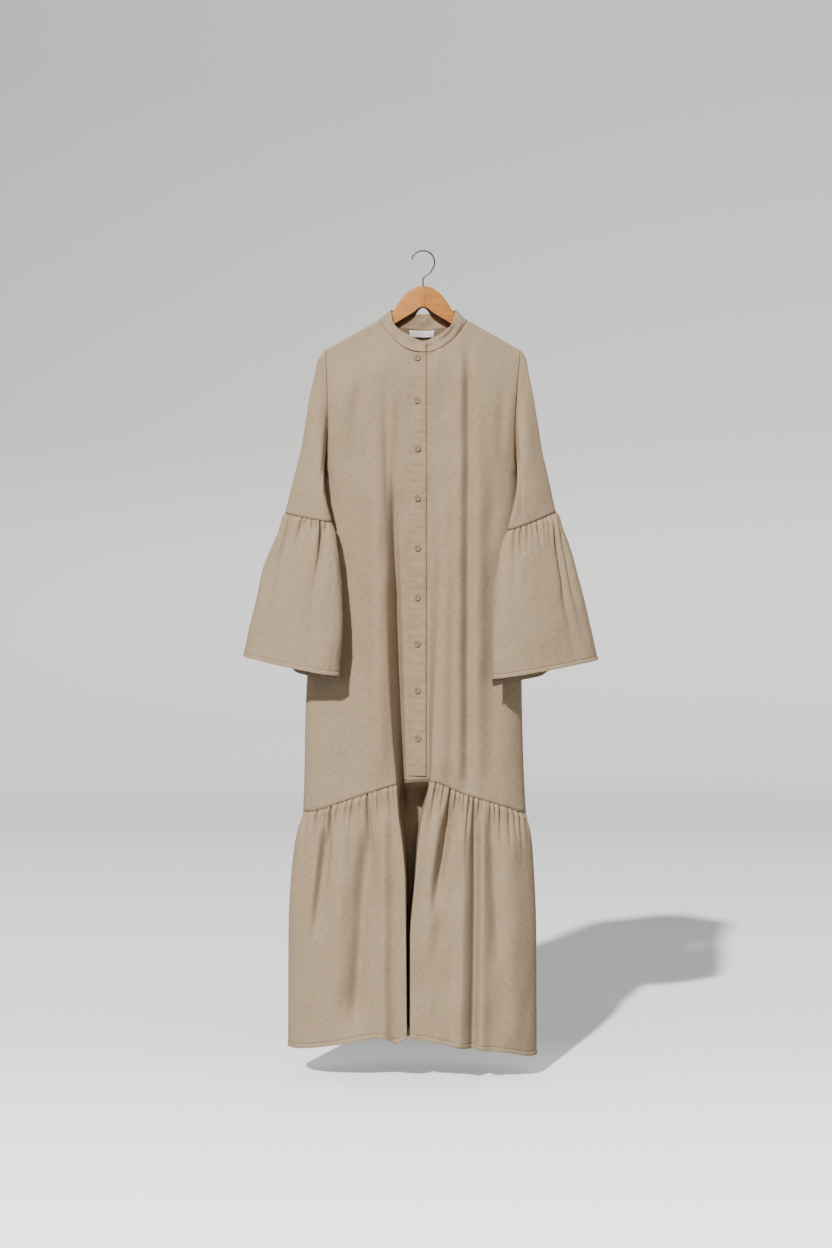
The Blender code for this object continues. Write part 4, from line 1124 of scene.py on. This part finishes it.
def stitch_row(name, path, out, material, collection):
    """A row of stitches: one short rounded thread, copied along a path."""
    run = path_lengths(path)
    starts = np.arange(STITCH_PITCH / 2, run[-1] - STITCH_PITCH, STITCH_PITCH)

    def place(at, values):
        return np.stack([np.interp(at, run, values[:, i]) for i in range(3)], axis=1)

    near = place(starts, path)
    far = place(starts + STITCH_LENGTH, path)
    outward = place(starts + STITCH_LENGTH / 2, out)
    outward /= np.linalg.norm(outward, axis=1, keepdims=True)
    along = far - near
    along /= np.linalg.norm(along, axis=1, keepdims=True)
    aside = np.cross(along, outward)
    middle = (near + far) / 2 + outward * STITCH_RADIUS * 0.3
    bpy.ops.mesh.primitive_uv_sphere_add(segments=6, ring_count=4, radius=1.0)
    thread = bpy.context.active_object
    base = np.empty(len(thread.data.vertices) * 3)
    thread.data.vertices.foreach_get("co", base)
    base = base.reshape(-1, 3)
    faces = [tuple(face.vertices) for face in thread.data.polygons]
    bpy.data.objects.remove(thread, do_unlink=True)
    points = []
    rings = []
    for index in range(len(starts)):
        stitch = middle[index] + along[index] * base[:, 2:3] * STITCH_LENGTH / 2
        stitch = stitch + aside[index] * base[:, 0:1] * STITCH_RADIUS
        stitch = stitch + outward[index] * base[:, 1:2] * STITCH_RADIUS
        first = index * len(base)
        points.append(stitch * MM)
        rings += [tuple(first + corner for corner in face) for face in faces]
    mesh = bpy.data.meshes.new(name)
    mesh.from_pydata(np.concatenate(points).tolist(), [], rings)
    mesh.update()
    obj = bpy.data.objects.new(name, mesh)
    bpy.context.scene.collection.objects.link(obj)
    shape = bmesh.new()
    shape.from_mesh(mesh)
    bmesh.ops.recalc_face_normals(shape, faces=shape.faces)
    shape.to_mesh(mesh)
    shape.free()
    obj.data.shade_smooth()
    return finish_piece(obj, name, material, collection)


def front_stitches(name, x, z, side, lift, material, collection):
    """Stitches along a line on the face of a body panel or skirt."""
    y = body_y(x, z, side)
    out_x, out_y = across_normal(x, z, side)
    path = np.stack([x + out_x * lift, y + out_y * lift, z], axis=1)
    out = np.stack([out_x, out_y, np.zeros_like(out_x)], axis=1)
    return stitch_row(name, path, out, material, collection)


def hex_colour(code):
    """An sRGB hex value as linear colour."""
    parts = [int(code[i:i + 2], 16) / 255 for i in (1, 3, 5)]
    return [c / 12.92 if c <= 0.04045 else ((c + 0.055) / 1.055) ** 2.4 for c in parts] + [1.0]


def add_node(tree, kind, settings=None, inputs=None, links=None, stops=()):
    """A node with its settings, its socket values, the sockets that feed it and its colours."""
    node = tree.nodes.new(kind)
    for name, value in (settings or {}).items():
        setattr(node, name, value)
    for name, value in (inputs or {}).items():
        node.inputs[name].default_value = value
    for name, source in (links or {}).items():
        tree.links.new(source, node.inputs[name])
    for _ in stops[2:]:
        node.color_ramp.elements.new(0.5)
    for number, (place, colour) in enumerate(stops):
        element = node.color_ramp.elements[number]
        element.position = place
        element.color = hex_colour(colour)
    return node


def new_material(name, colour, roughness, metallic=0.0, specular=0.5):
    material = bpy.data.materials.new(name)
    material.use_nodes = True
    shader = material.node_tree.nodes["Principled BSDF"]
    shader.inputs["Base Color"].default_value = hex_colour(colour)
    shader.inputs["Roughness"].default_value = roughness
    shader.inputs["Metallic"].default_value = metallic
    shader.inputs["Specular IOR Level"].default_value = specular
    return material, material.node_tree, shader


def woven_cotton(name, dark, middle, light):
    """Plain-woven cotton with slubs: matt, slightly fuzzy, its threads just seen.

    Real threads lie about 0.4 mm apart, too fine to show, so they are drawn
    1.8 mm apart, which gives the fine grain that the dress shows.
    """
    material, tree, shader = new_material(name, middle, 0.9, specular=0.2)
    place = add_node(tree, "ShaderNodeUVMap", {"uv_map": "threads"}).outputs["UV"]
    threads = add_node(tree, "ShaderNodeMath", {"operation": "ADD"})
    for socket, scale in enumerate(((560.0, 80.0, 1.0), (70.0, 560.0, 1.0))):
        run = add_node(
            tree, "ShaderNodeMapping", inputs={"Scale": scale}, links={"Vector": place}
        ).outputs["Vector"]
        yarn = add_node(
            tree, "ShaderNodeTexNoise", inputs={"Scale": 1.0, "Detail": 2.0}, links={"Vector": run}
        ).outputs["Fac"]
        tree.links.new(yarn, threads.inputs[socket])
    half = add_node(
        tree, "ShaderNodeMath", {"operation": "MULTIPLY"}, {1: 0.5},
        {0: threads.outputs["Value"]},
    ).outputs["Value"]
    cloud = add_node(
        tree, "ShaderNodeTexNoise", inputs={"Scale": 9.0, "Detail": 3.0}, links={"Vector": place}
    ).outputs["Fac"]
    blend = add_node(
        tree, "ShaderNodeMix", {"data_type": "FLOAT"}, {"Factor": 0.15}, {"A": half, "B": cloud}
    ).outputs["Result"]
    colour = add_node(
        tree, "ShaderNodeValToRGB", links={"Fac": blend},
        stops=((0.34, dark), (0.5, middle), (0.66, light)),
    ).outputs["Color"]
    tree.links.new(colour, shader.inputs["Base Color"])
    crush = add_node(
        tree, "ShaderNodeTexNoise", inputs={"Scale": 120.0, "Detail": 4.0}, links={"Vector": place}
    ).outputs["Fac"]
    height = add_node(
        tree, "ShaderNodeMix", {"data_type": "FLOAT"}, {"Factor": 0.45}, {"A": half, "B": crush}
    ).outputs["Result"]
    bump = add_node(
        tree, "ShaderNodeBump", inputs={"Strength": 0.5, "Distance": 0.0009},
        links={"Height": height},
    )
    tree.links.new(bump.outputs["Normal"], shader.inputs["Normal"])
    return material


def plain_material(name, colour, roughness, metallic, scale, bump, specular=0.5):
    """A finish with faint mottling in its tone and its surface."""
    material, tree, shader = new_material(name, colour, roughness, metallic, specular=specular)
    place = add_node(tree, "ShaderNodeTexCoord").outputs["Object"]
    noise = add_node(
        tree, "ShaderNodeTexNoise", inputs={"Scale": scale, "Detail": 3.0}, links={"Vector": place}
    ).outputs["Fac"]
    value = add_node(
        tree, "ShaderNodeMapRange", inputs={"To Min": 0.9, "To Max": 1.1}, links={"Value": noise}
    ).outputs["Result"]
    tone = add_node(
        tree, "ShaderNodeHueSaturation", inputs={"Color": hex_colour(colour)},
        links={"Value": value},
    )
    tree.links.new(tone.outputs["Color"], shader.inputs["Base Color"])
    rough = add_node(
        tree, "ShaderNodeMapRange",
        inputs={"To Min": roughness - 0.06, "To Max": roughness + 0.06}, links={"Value": noise},
    ).outputs["Result"]
    tree.links.new(rough, shader.inputs["Roughness"])
    surface = add_node(
        tree, "ShaderNodeBump", inputs={"Strength": 0.3, "Distance": bump}, links={"Height": noise}
    )
    tree.links.new(surface.outputs["Normal"], shader.inputs["Normal"])
    return material


def varnished_beech(name, dark, light, side):
    """Sawn beech under satin varnish: fine straight grain along the arm, short flecks."""
    material, tree, shader = new_material(name, light, 0.5, specular=0.3)
    shader.inputs["Coat Weight"].default_value = 0.12
    shader.inputs["Coat Roughness"].default_value = 0.3
    place = add_node(tree, "ShaderNodeTexCoord").outputs["Object"]
    figures = []
    for scale, look in (
        ((14.0, 160.0, 160.0), {"Scale": 1.6, "Detail": 5.0, "Roughness": 0.6}),
        ((120.0, 700.0, 700.0), {"Scale": 1.0, "Detail": 2.0}),
    ):
        lean = add_node(
            tree, "ShaderNodeMapping",
            inputs={"Rotation": (0.0, -side * GRAIN_LEAN, 0.0), "Scale": scale},
            links={"Vector": place},
        ).outputs["Vector"]
        figure = add_node(tree, "ShaderNodeTexNoise", inputs=look, links={"Vector": lean})
        figures.append(figure.outputs["Fac"])
    tone = add_node(
        tree, "ShaderNodeMix", {"data_type": "FLOAT"}, {"Factor": 0.35},
        {"A": figures[0], "B": figures[1]},
    ).outputs["Result"]
    colour = add_node(
        tree, "ShaderNodeValToRGB", links={"Fac": tone}, stops=((0.3, dark), (0.62, light))
    ).outputs["Color"]
    # Painted shade: faces turned downwards are darkened, standing in for the shadow under the arm.
    normal = add_node(tree, "ShaderNodeNewGeometry").outputs["Normal"]
    facing = add_node(tree, "ShaderNodeSeparateXYZ", links={"Vector": normal}).outputs["Z"]
    under = add_node(
        tree, "ShaderNodeMapRange", inputs={"From Min": -0.3, "From Max": -0.6},
        links={"Value": facing},
    ).outputs["Result"]
    mix = add_node(tree, "ShaderNodeMix", {"data_type": "RGBA"}, links={"Factor": under})
    tree.links.new(colour, mix.inputs["A"])
    mix.inputs["B"].default_value = hex_colour("#3A2210")
    tree.links.new(mix.outputs["Result"], shader.inputs["Base Color"])
    bump = add_node(
        tree, "ShaderNodeBump", inputs={"Strength": 0.15, "Distance": 0.0003},
        links={"Height": tone},
    )
    tree.links.new(bump.outputs["Normal"], shader.inputs["Normal"])
    return material


def make_arm(half, material, collection):
    """Hanger arm lofted through its rows, rounded on top and undercut behind."""
    sign = -1.0 if half == "right" else 1.0
    thick = WOOD_THICKNESS / 2
    stations = np.concatenate((np.linspace(0.02, 66, 34), np.linspace(70, 182.5, 40)))
    rings = []
    for x in stations:
        top = read(ARM, "x", "top", x)
        bottom = read(ARM, "x", "bottom", x)
        undercut = read(ARM, "x", "undercut", x)
        ring = []
        for turn in np.linspace(0.0, math.pi, 15):
            ring.append((x, -thick * math.cos(turn), top - thick + thick * math.sin(turn)))
        ring.append((x, thick, bottom - undercut + 1.0))
        ring.append((x, thick - 1.0, bottom - undercut))
        ring.append((x, thick - 3.0, bottom - undercut - 1.0))
        ring.append((x, -thick + 2.0, bottom - 1.0))
        ring.append((x, -thick + 0.8, bottom - 0.4))
        ring.append((x, -thick, bottom + 0.8))
        rings.append([(sign * px * MM, y * MM, z * MM) for px, y, z in ring])
    shape = bmesh.new()
    loops = [[shape.verts.new(point) for point in ring] for ring in rings]
    for near, far in zip(loops, loops[1:]):
        for a in range(len(near)):
            b = (a + 1) % len(near)
            shape.faces.new((near[a], near[b], far[b], far[a]))
    shape.faces.new(loops[0])
    shape.faces.new(loops[-1])
    bmesh.ops.recalc_face_normals(shape, faces=shape.faces)
    name = f"wood_arm_{half}"
    arm = object_from(shape, name)
    bpy.ops.object.shade_smooth_by_angle(angle=SMOOTH_ANGLE)
    finish_piece(arm, name, material, collection)
    # The photo's neck is lit all the way down, so the arms throw no shadow into it.
    arm.visible_shadow = False
    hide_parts(f"hanger_arm_{half}")


def make_hook(material, collection):
    """Bent wire hook with a rounded tip."""
    centre_z = HOOK_RADIUS - HOOK_LOOP
    points = []
    for turn in np.radians(np.linspace(165.0, -40.0, 60)):
        points.append((HOOK_LOOP * math.cos(turn), centre_z + HOOK_LOOP * math.sin(turn)))
    last_x, last_z = points[-1]
    for t in np.linspace(0.0, 1.0, 20)[1:]:
        ease = t * t * (3 - 2 * t)
        points.append((last_x * (1 - ease), last_z - 19.0 * t))
    points.append((0.0, HOOK_STEM_END))
    curve = bpy.data.curves.new("wire_hook", "CURVE")
    curve.dimensions = "3D"
    curve.bevel_depth = HOOK_RADIUS * MM
    curve.bevel_resolution = 5
    curve.use_fill_caps = True
    spline = curve.splines.new("POLY")
    spline.points.add(len(points) - 1)
    for point, (x, z) in zip(spline.points, points):
        point.co = (x * MM, 0.0, z * MM, 1.0)
    spline.points[0].radius = 0.7
    wire = bpy.data.objects.new("wire_hook", curve)
    bpy.context.scene.collection.objects.link(wire)
    bpy.context.view_layer.objects.active = wire
    wire.select_set(True)
    bpy.ops.object.convert(target="MESH")
    wire = bpy.context.active_object
    bpy.ops.object.shade_smooth()
    finish_piece(wire, "wire_hook", material, collection)
    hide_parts("hook")


def model_button():
    """One dished four-hole button, lying flat: rim, dish, holes."""
    bpy.ops.mesh.primitive_cylinder_add(
        vertices=40, radius=BUTTON_RADIUS * MM, depth=BUTTON_DEPTH * MM, end_fill_type="NGON"
    )
    button = bpy.context.active_object
    bpy.ops.object.mode_set(mode="EDIT")
    bpy.ops.mesh.select_mode(type="FACE")
    bpy.ops.mesh.select_all(action="DESELECT")
    shape = bmesh.from_edit_mesh(button.data)
    for face in shape.faces:
        face.select_set(face.normal.z > 0.9)
    bmesh.update_edit_mesh(button.data)
    bpy.ops.mesh.inset(thickness=1.5 * MM, depth=0.0)
    bpy.ops.mesh.inset(thickness=0.8 * MM, depth=-0.8 * MM)
    bpy.ops.mesh.inset(thickness=1.6 * MM, depth=0.0)
    bpy.ops.object.mode_set(mode="OBJECT")
    for x, y in ((-1, -1), (-1, 1), (1, -1), (1, 1)):
        bpy.ops.mesh.primitive_cylinder_add(
            vertices=16, radius=BUTTON_HOLE_RADIUS * MM, depth=6 * MM,
            location=(x * BUTTON_HOLE_AT * MM, y * BUTTON_HOLE_AT * MM, 0),
        )
        drill = bpy.context.active_object
        cut = button.modifiers.new("Hole", "BOOLEAN")
        cut.operation = "DIFFERENCE"
        cut.object = drill
        bpy.context.view_layer.objects.active = button
        bpy.ops.object.modifier_apply(modifier=cut.name)
        bpy.data.objects.remove(drill, do_unlink=True)
    edge = button.modifiers.new("Edge", "BEVEL")
    edge.width = 0.35 * MM
    edge.segments = 2
    edge.limit_method = "ANGLE"
    apply_modifiers(button)
    return button


def model_button_thread():
    """Two parallel loops of thread through the four holes."""
    shape = bmesh.new()
    for side in (-1, 1):
        for step in range(3):
            offset = (step - 1) * THREAD_PITCH
            rings = []
            for t in np.linspace(0.0, 1.0, 9):
                x = BUTTON_HOLE_AT * (2.0 * t - 1.0) * MM
                z = (0.55 + 0.75 * math.sin(math.pi * t)) * MM
                ring = []
                for k in range(6):
                    angle = 2 * math.pi * k / 6
                    y = (side * BUTTON_HOLE_AT + offset + THREAD_RADIUS * math.cos(angle)) * MM
                    up = THREAD_RADIUS * MM * math.sin(angle)
                    ring.append(shape.verts.new((x, y, z + up)))
                rings.append(ring)
            for near, far in zip(rings, rings[1:]):
                for k in range(6):
                    shape.faces.new((near[k], near[(k + 1) % 6], far[(k + 1) % 6], far[k]))
            shape.faces.new(rings[0])
            shape.faces.new(rings[-1])
    bmesh.ops.recalc_face_normals(shape, faces=shape.faces)
    return object_from(shape, "button_thread")


def place_copy(model, name, place, lean, turn, material, collection):
    """A copy with its own mesh, put where it is worn, with its place in its mesh."""
    piece = model.copy()
    piece.data = model.data.copy()
    bpy.context.scene.collection.objects.link(piece)
    piece.location = place
    piece.rotation_euler = (math.pi / 2 - lean, turn, 0.0)
    bpy.ops.object.select_all(action="DESELECT")
    bpy.context.view_layer.objects.active = piece
    piece.select_set(True)
    bpy.ops.object.transform_apply(location=True, rotation=True, scale=True)
    bpy.ops.object.shade_smooth_by_angle(angle=SMOOTH_ANGLE)
    return finish_piece(piece, name, material, collection)


def make_buttons(button_material, thread_material, collection):
    button = model_button()
    thread = model_button_thread()
    for number, z in enumerate(BUTTON_Z, start=1):
        turns = np.linspace(0.0, 2 * math.pi, 25)
        ring_x = BUTTON_X + BUTTON_RADIUS * np.cos(turns)
        ring_z = z + BUTTON_RADIUS * np.sin(turns)
        face = np.mean(body_y(ring_x, ring_z, "front") - placket_lift(ring_x))
        ends = z + BUTTON_RADIUS * np.array([1.0, -1.0])
        above, under = body_y(np.full_like(ends, BUTTON_X), ends, "front", detail=False)
        lean = math.atan2(above - under, 2 * BUTTON_RADIUS)
        y = face - SEAM_GAP - BUTTON_LIFT
        place = (BUTTON_X * MM, float(y) * MM, z * MM)
        turn = 0.5 * math.sin(number * 2.4)
        piece = place_copy(
            button, f"shirt_button_{number}", place, lean, turn,
            button_material, collection,
        )
        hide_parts(f"button_{number}")
        place_copy(
            thread, f"button_thread_{number}", place, lean, turn,
            thread_material, collection,
        )
    bpy.data.objects.remove(button, do_unlink=True)
    bpy.data.objects.remove(thread, do_unlink=True)


def make_stage():
    """A plain pale floor that curves up into a plain grey wall all round.

    Matt background paper with no gloss; its colour carries painted shade, darker further back and
    higher up the wall.
    """
    material, tree, shader = new_material("studio paper", "#C8C8C8", 0.95, specular=0.1)
    place = add_node(tree, "ShaderNodeTexCoord").outputs["Object"]
    axes = add_node(tree, "ShaderNodeSeparateXYZ", links={"Vector": place})
    depth = add_node(
        tree, "ShaderNodeMapRange", inputs={"From Min": -2.5, "From Max": 6.5},
        links={"Value": axes.outputs["Y"]},
    ).outputs["Result"]
    # Painted shade: the paper darkens further back across the floor and higher up the wall,
    # standing in for the light's fall-off.
    floor = add_node(
        tree, "ShaderNodeValToRGB", links={"Fac": depth},
        stops=(
            (0.0, "#FAFAFA"), (0.3, "#F8F8F8"), (0.42, "#EEEEEE"), (0.62, "#D6D6D6"),
            (0.75, "#C4C4C4"),
        ),
    ).outputs["Color"]
    rise = add_node(
        tree, "ShaderNodeMapRange", inputs={"From Min": -1.6, "From Max": 2.6},
        links={"Value": axes.outputs["Z"]},
    ).outputs["Result"]
    wall = add_node(
        tree, "ShaderNodeValToRGB", links={"Fac": rise},
        stops=((0.0, "#B6B6B6"), (0.3, "#BCBCBC"), (1.0, "#A4A4A4")),
    ).outputs["Color"]
    upright = add_node(
        tree, "ShaderNodeMapRange", inputs={"From Min": -1.59, "From Max": -1.3},
        links={"Value": axes.outputs["Z"]},
    ).outputs["Result"]
    mix = add_node(tree, "ShaderNodeMix", {"data_type": "RGBA"}, links={"Factor": upright})
    tree.links.new(floor, mix.inputs["A"])
    tree.links.new(wall, mix.inputs["B"])
    tree.links.new(mix.outputs["Result"], shader.inputs["Base Color"])
    # Painted light: the floor glows a little towards the camera, where no shadow falls.
    painted_floor_glow = add_node(
        tree, "ShaderNodeMapRange",
        inputs={"From Min": 0.3, "From Max": -0.9, "To Max": FLOOR_PAINTED_GLOW},
        links={"Value": axes.outputs["Y"]},
    ).outputs["Result"]
    shader.inputs["Emission Color"].default_value = (1.0, 1.0, 1.0, 1.0)
    tree.links.new(painted_floor_glow, shader.inputs["Emission Strength"])
    profile = [(0.001, FLOOR_Z), (2.0, FLOOR_Z), (WALL_START, FLOOR_Z)]
    for turn in np.linspace(0.0, math.pi / 2, 16)[1:]:
        up = WALL_CURVE * (1 - math.cos(turn))
        profile.append((WALL_START + WALL_CURVE * math.sin(turn), FLOOR_Z + up))
    profile.append((WALL_START + WALL_CURVE, WALL_TOP))
    shape = bmesh.new()
    corners = [shape.verts.new((0.0, y, z)) for y, z in profile]
    for near, far in zip(corners, corners[1:]):
        shape.edges.new((near, far))
    floor_piece = object_from(shape, "studio_floor")
    screw = floor_piece.modifiers.new("Round", "SCREW")
    screw.angle = 2 * math.pi
    screw.steps = 96
    screw.render_steps = 96
    screw.use_merge_vertices = True
    bpy.ops.object.modifier_apply(modifier=screw.name)
    bpy.ops.object.shade_smooth()
    floor_piece.data.materials.append(material)
    floor_piece.select_set(False)
    floor_piece.visible_shadow = False
    floor_piece.visible_diffuse = False


def make_camera_and_lights():
    """Level camera in front; key light from the upper left, with a wide soft fill."""
    scene = bpy.context.scene
    camera = bpy.data.objects.new("camera", bpy.data.cameras.new("camera"))
    scene.collection.objects.link(camera)
    camera.location = CAMERA_PLACE
    camera.rotation_euler = (math.radians(90), 0.0, 0.0)
    camera.data.lens = 50
    camera.data.sensor_fit = "VERTICAL"
    camera.data.sensor_height = 36
    scene.camera = camera
    key = bpy.data.objects.new("key", bpy.data.lights.new("key", "SUN"))
    scene.collection.objects.link(key)
    key.data.energy = KEY_POWER
    key.data.angle = math.radians(2.0)
    key.data.color = KEY_COLOUR
    key.rotation_euler = KEY_TURN
    world = bpy.data.worlds.new("studio")
    scene.world = world
    world.use_nodes = True
    tree = world.node_tree
    back = tree.nodes["Background"]
    place = add_node(tree, "ShaderNodeTexCoord").outputs["Generated"]
    height = add_node(tree, "ShaderNodeSeparateXYZ", links={"Vector": place}).outputs["Z"]
    share = add_node(
        tree, "ShaderNodeMapRange", {}, {"From Min": -0.7, "From Max": 0.7}, {"Value": height}
    ).outputs["Result"]
    sky = add_node(
        tree, "ShaderNodeValToRGB", links={"Fac": share},
        stops=((0.0, FILL_LOW), (0.5, FILL_LEVEL), (1.0, FILL_HIGH)),
    ).outputs["Color"]
    tree.links.new(sky, back.inputs["Color"])
    back.inputs["Strength"].default_value = FILL_POWER


def make_dress(cloth, tape, collection):
    """Every cut piece of cloth, by the solid that it stands for.

    A sheet is thickened outwards or inwards from its points, so that the face
    that meets its neighbours stays where the points are.
    """
    sheets = [
        ("front_right", front_points("right"), CLOTH, False, False),
        ("front_left", front_points("left"), CLOTH, False, False),
        ("back", back_points(), CLOTH, False, False),
        ("placket", placket_points(), PLACKET_CLOTH, False, False),
        ("collar_band", collar_points(), COLLAR_WALL, True, False),
    ]
    for half in ("right", "left"):
        sheets.append((f"sleeve_{half}", sleeve_points(half), CLOTH, True, True))
        sheets.append((f"cuff_{half}", cuff_points(half), CLOTH, False, True))
    sheets.append(("skirt_front", skirt_front_points(), CLOTH, False, False))
    sheets.append(("skirt_back", skirt_back_points(), CLOTH, False, False))
    sheets.append(("label", label_points(), LABEL_CLOTH, True, False))
    pieces = {}
    for node, points, wall, outward, closed in sheets:
        name = "cloth_" + node.replace("_band", "")
        material, slot = (cloth, "sand_cotton") if node != "label" else (tape, "white_label_tape")
        pieces[node] = cloth_sheet(
            name, points, wall, outward, closed, material, node, collection
        )
    return pieces


def make_sewing(thread, collection):
    """Rows of stitches on the placket, the hem and the cuffs."""
    z = np.linspace(PLACKET_STITCH_TOP, PLACKET_END + 4, 400)
    for side, at in PLACKET_STITCH_X.items():
        lift = placket_lift(at) + SEAM_GAP + STITCH_PROUD
        name = f"stitches_placket_{side}"
        front_stitches(name, np.full_like(z, at), z, "front", lift, thread, collection)
    x = np.linspace(PLACKET_LEFT + 3, PLACKET_RIGHT - 3, 30)
    for number, level in enumerate((PLACKET_END + 4, PLACKET_END + 10), start=1):
        lift = placket_lift(x) + SEAM_GAP + STITCH_PROUD
        name = f"stitches_placket_end_{number}"
        front_stitches(name, x, np.full_like(x, level), "front", lift, thread, collection)
    for side, edges, low, high in (
        ("front", FRONT_EDGES, -255.0, -40.0), ("front", FRONT_EDGES, -18.0, 214.0),
        ("back", BACK_EDGES, -255.0, 214.0),
    ):
        x = np.linspace(low, high, 300)
        z = read(edges, "x", "hem", x) + HEM_DEPTH
        name = f"stitches_hem_{side}_{'right' if high < 0 else 'left'}"
        front_stitches(name, x, z, side, HEM_STITCH_LIFT, thread, collection)
    for half in ("right", "left"):
        turn = np.linspace(0.0, 2 * math.pi, 400)
        down = np.full_like(turn, 1.0 - HEM_DEPTH / CUFF_TALL)
        path = cuff_point(half, turn, down)
        out = path - path.mean(axis=0)
        out[:, 2] = 0.0
        stitch_row(f"stitches_cuff_{half}", path, out, thread, collection)


def main():
    collection = make_collection("dress_looks")
    cloth = woven_cotton("sand woven cotton", "#827059", "#8E7B63", "#9A876E")
    # Spun cotton thread: matt, a shade lighter than the cloth that it holds.
    thread = plain_material("sand sewing thread", "#927A5E", 0.7, 0.0, 900.0, 0.0001)
    # Satin-woven polyester tape: nearly white, matt, with a faint rib.
    tape = plain_material("white woven label tape", "#F2F0EC", 0.75, 0.0, 700.0, 0.0002)
    # Corozo nut turned to a button: half matt, slightly cloudy, as brown as the cloth's shade.
    button = plain_material("sand corozo button", "#78644D", 0.42, 0.0, 260.0, 0.0001)
    # Steel wire drawn through a die and left dark: smooth, with a narrow dull gleam.
    steel = plain_material("dark drawn steel wire", "#45423F", 0.36, 1.0, 300.0, 0.00005)
    # The two arms get different tones: the one on the picture's right is darker and redder.
    beech = {
        "right": varnished_beech("varnished beech, pale", "#945518", "#B47626", -1.0),
        "left": varnished_beech("varnished beech, warm", "#884D0E", "#AC6C1A", 1.0),
    }
    pieces = make_dress(cloth, tape, collection)
    make_sewing(thread, collection)
    make_buttons(button, thread, collection)
    for half in ("right", "left"):
        make_arm(half, beech[half], collection)
    make_hook(steel, collection)
    make_stage()
    make_camera_and_lights()


main()
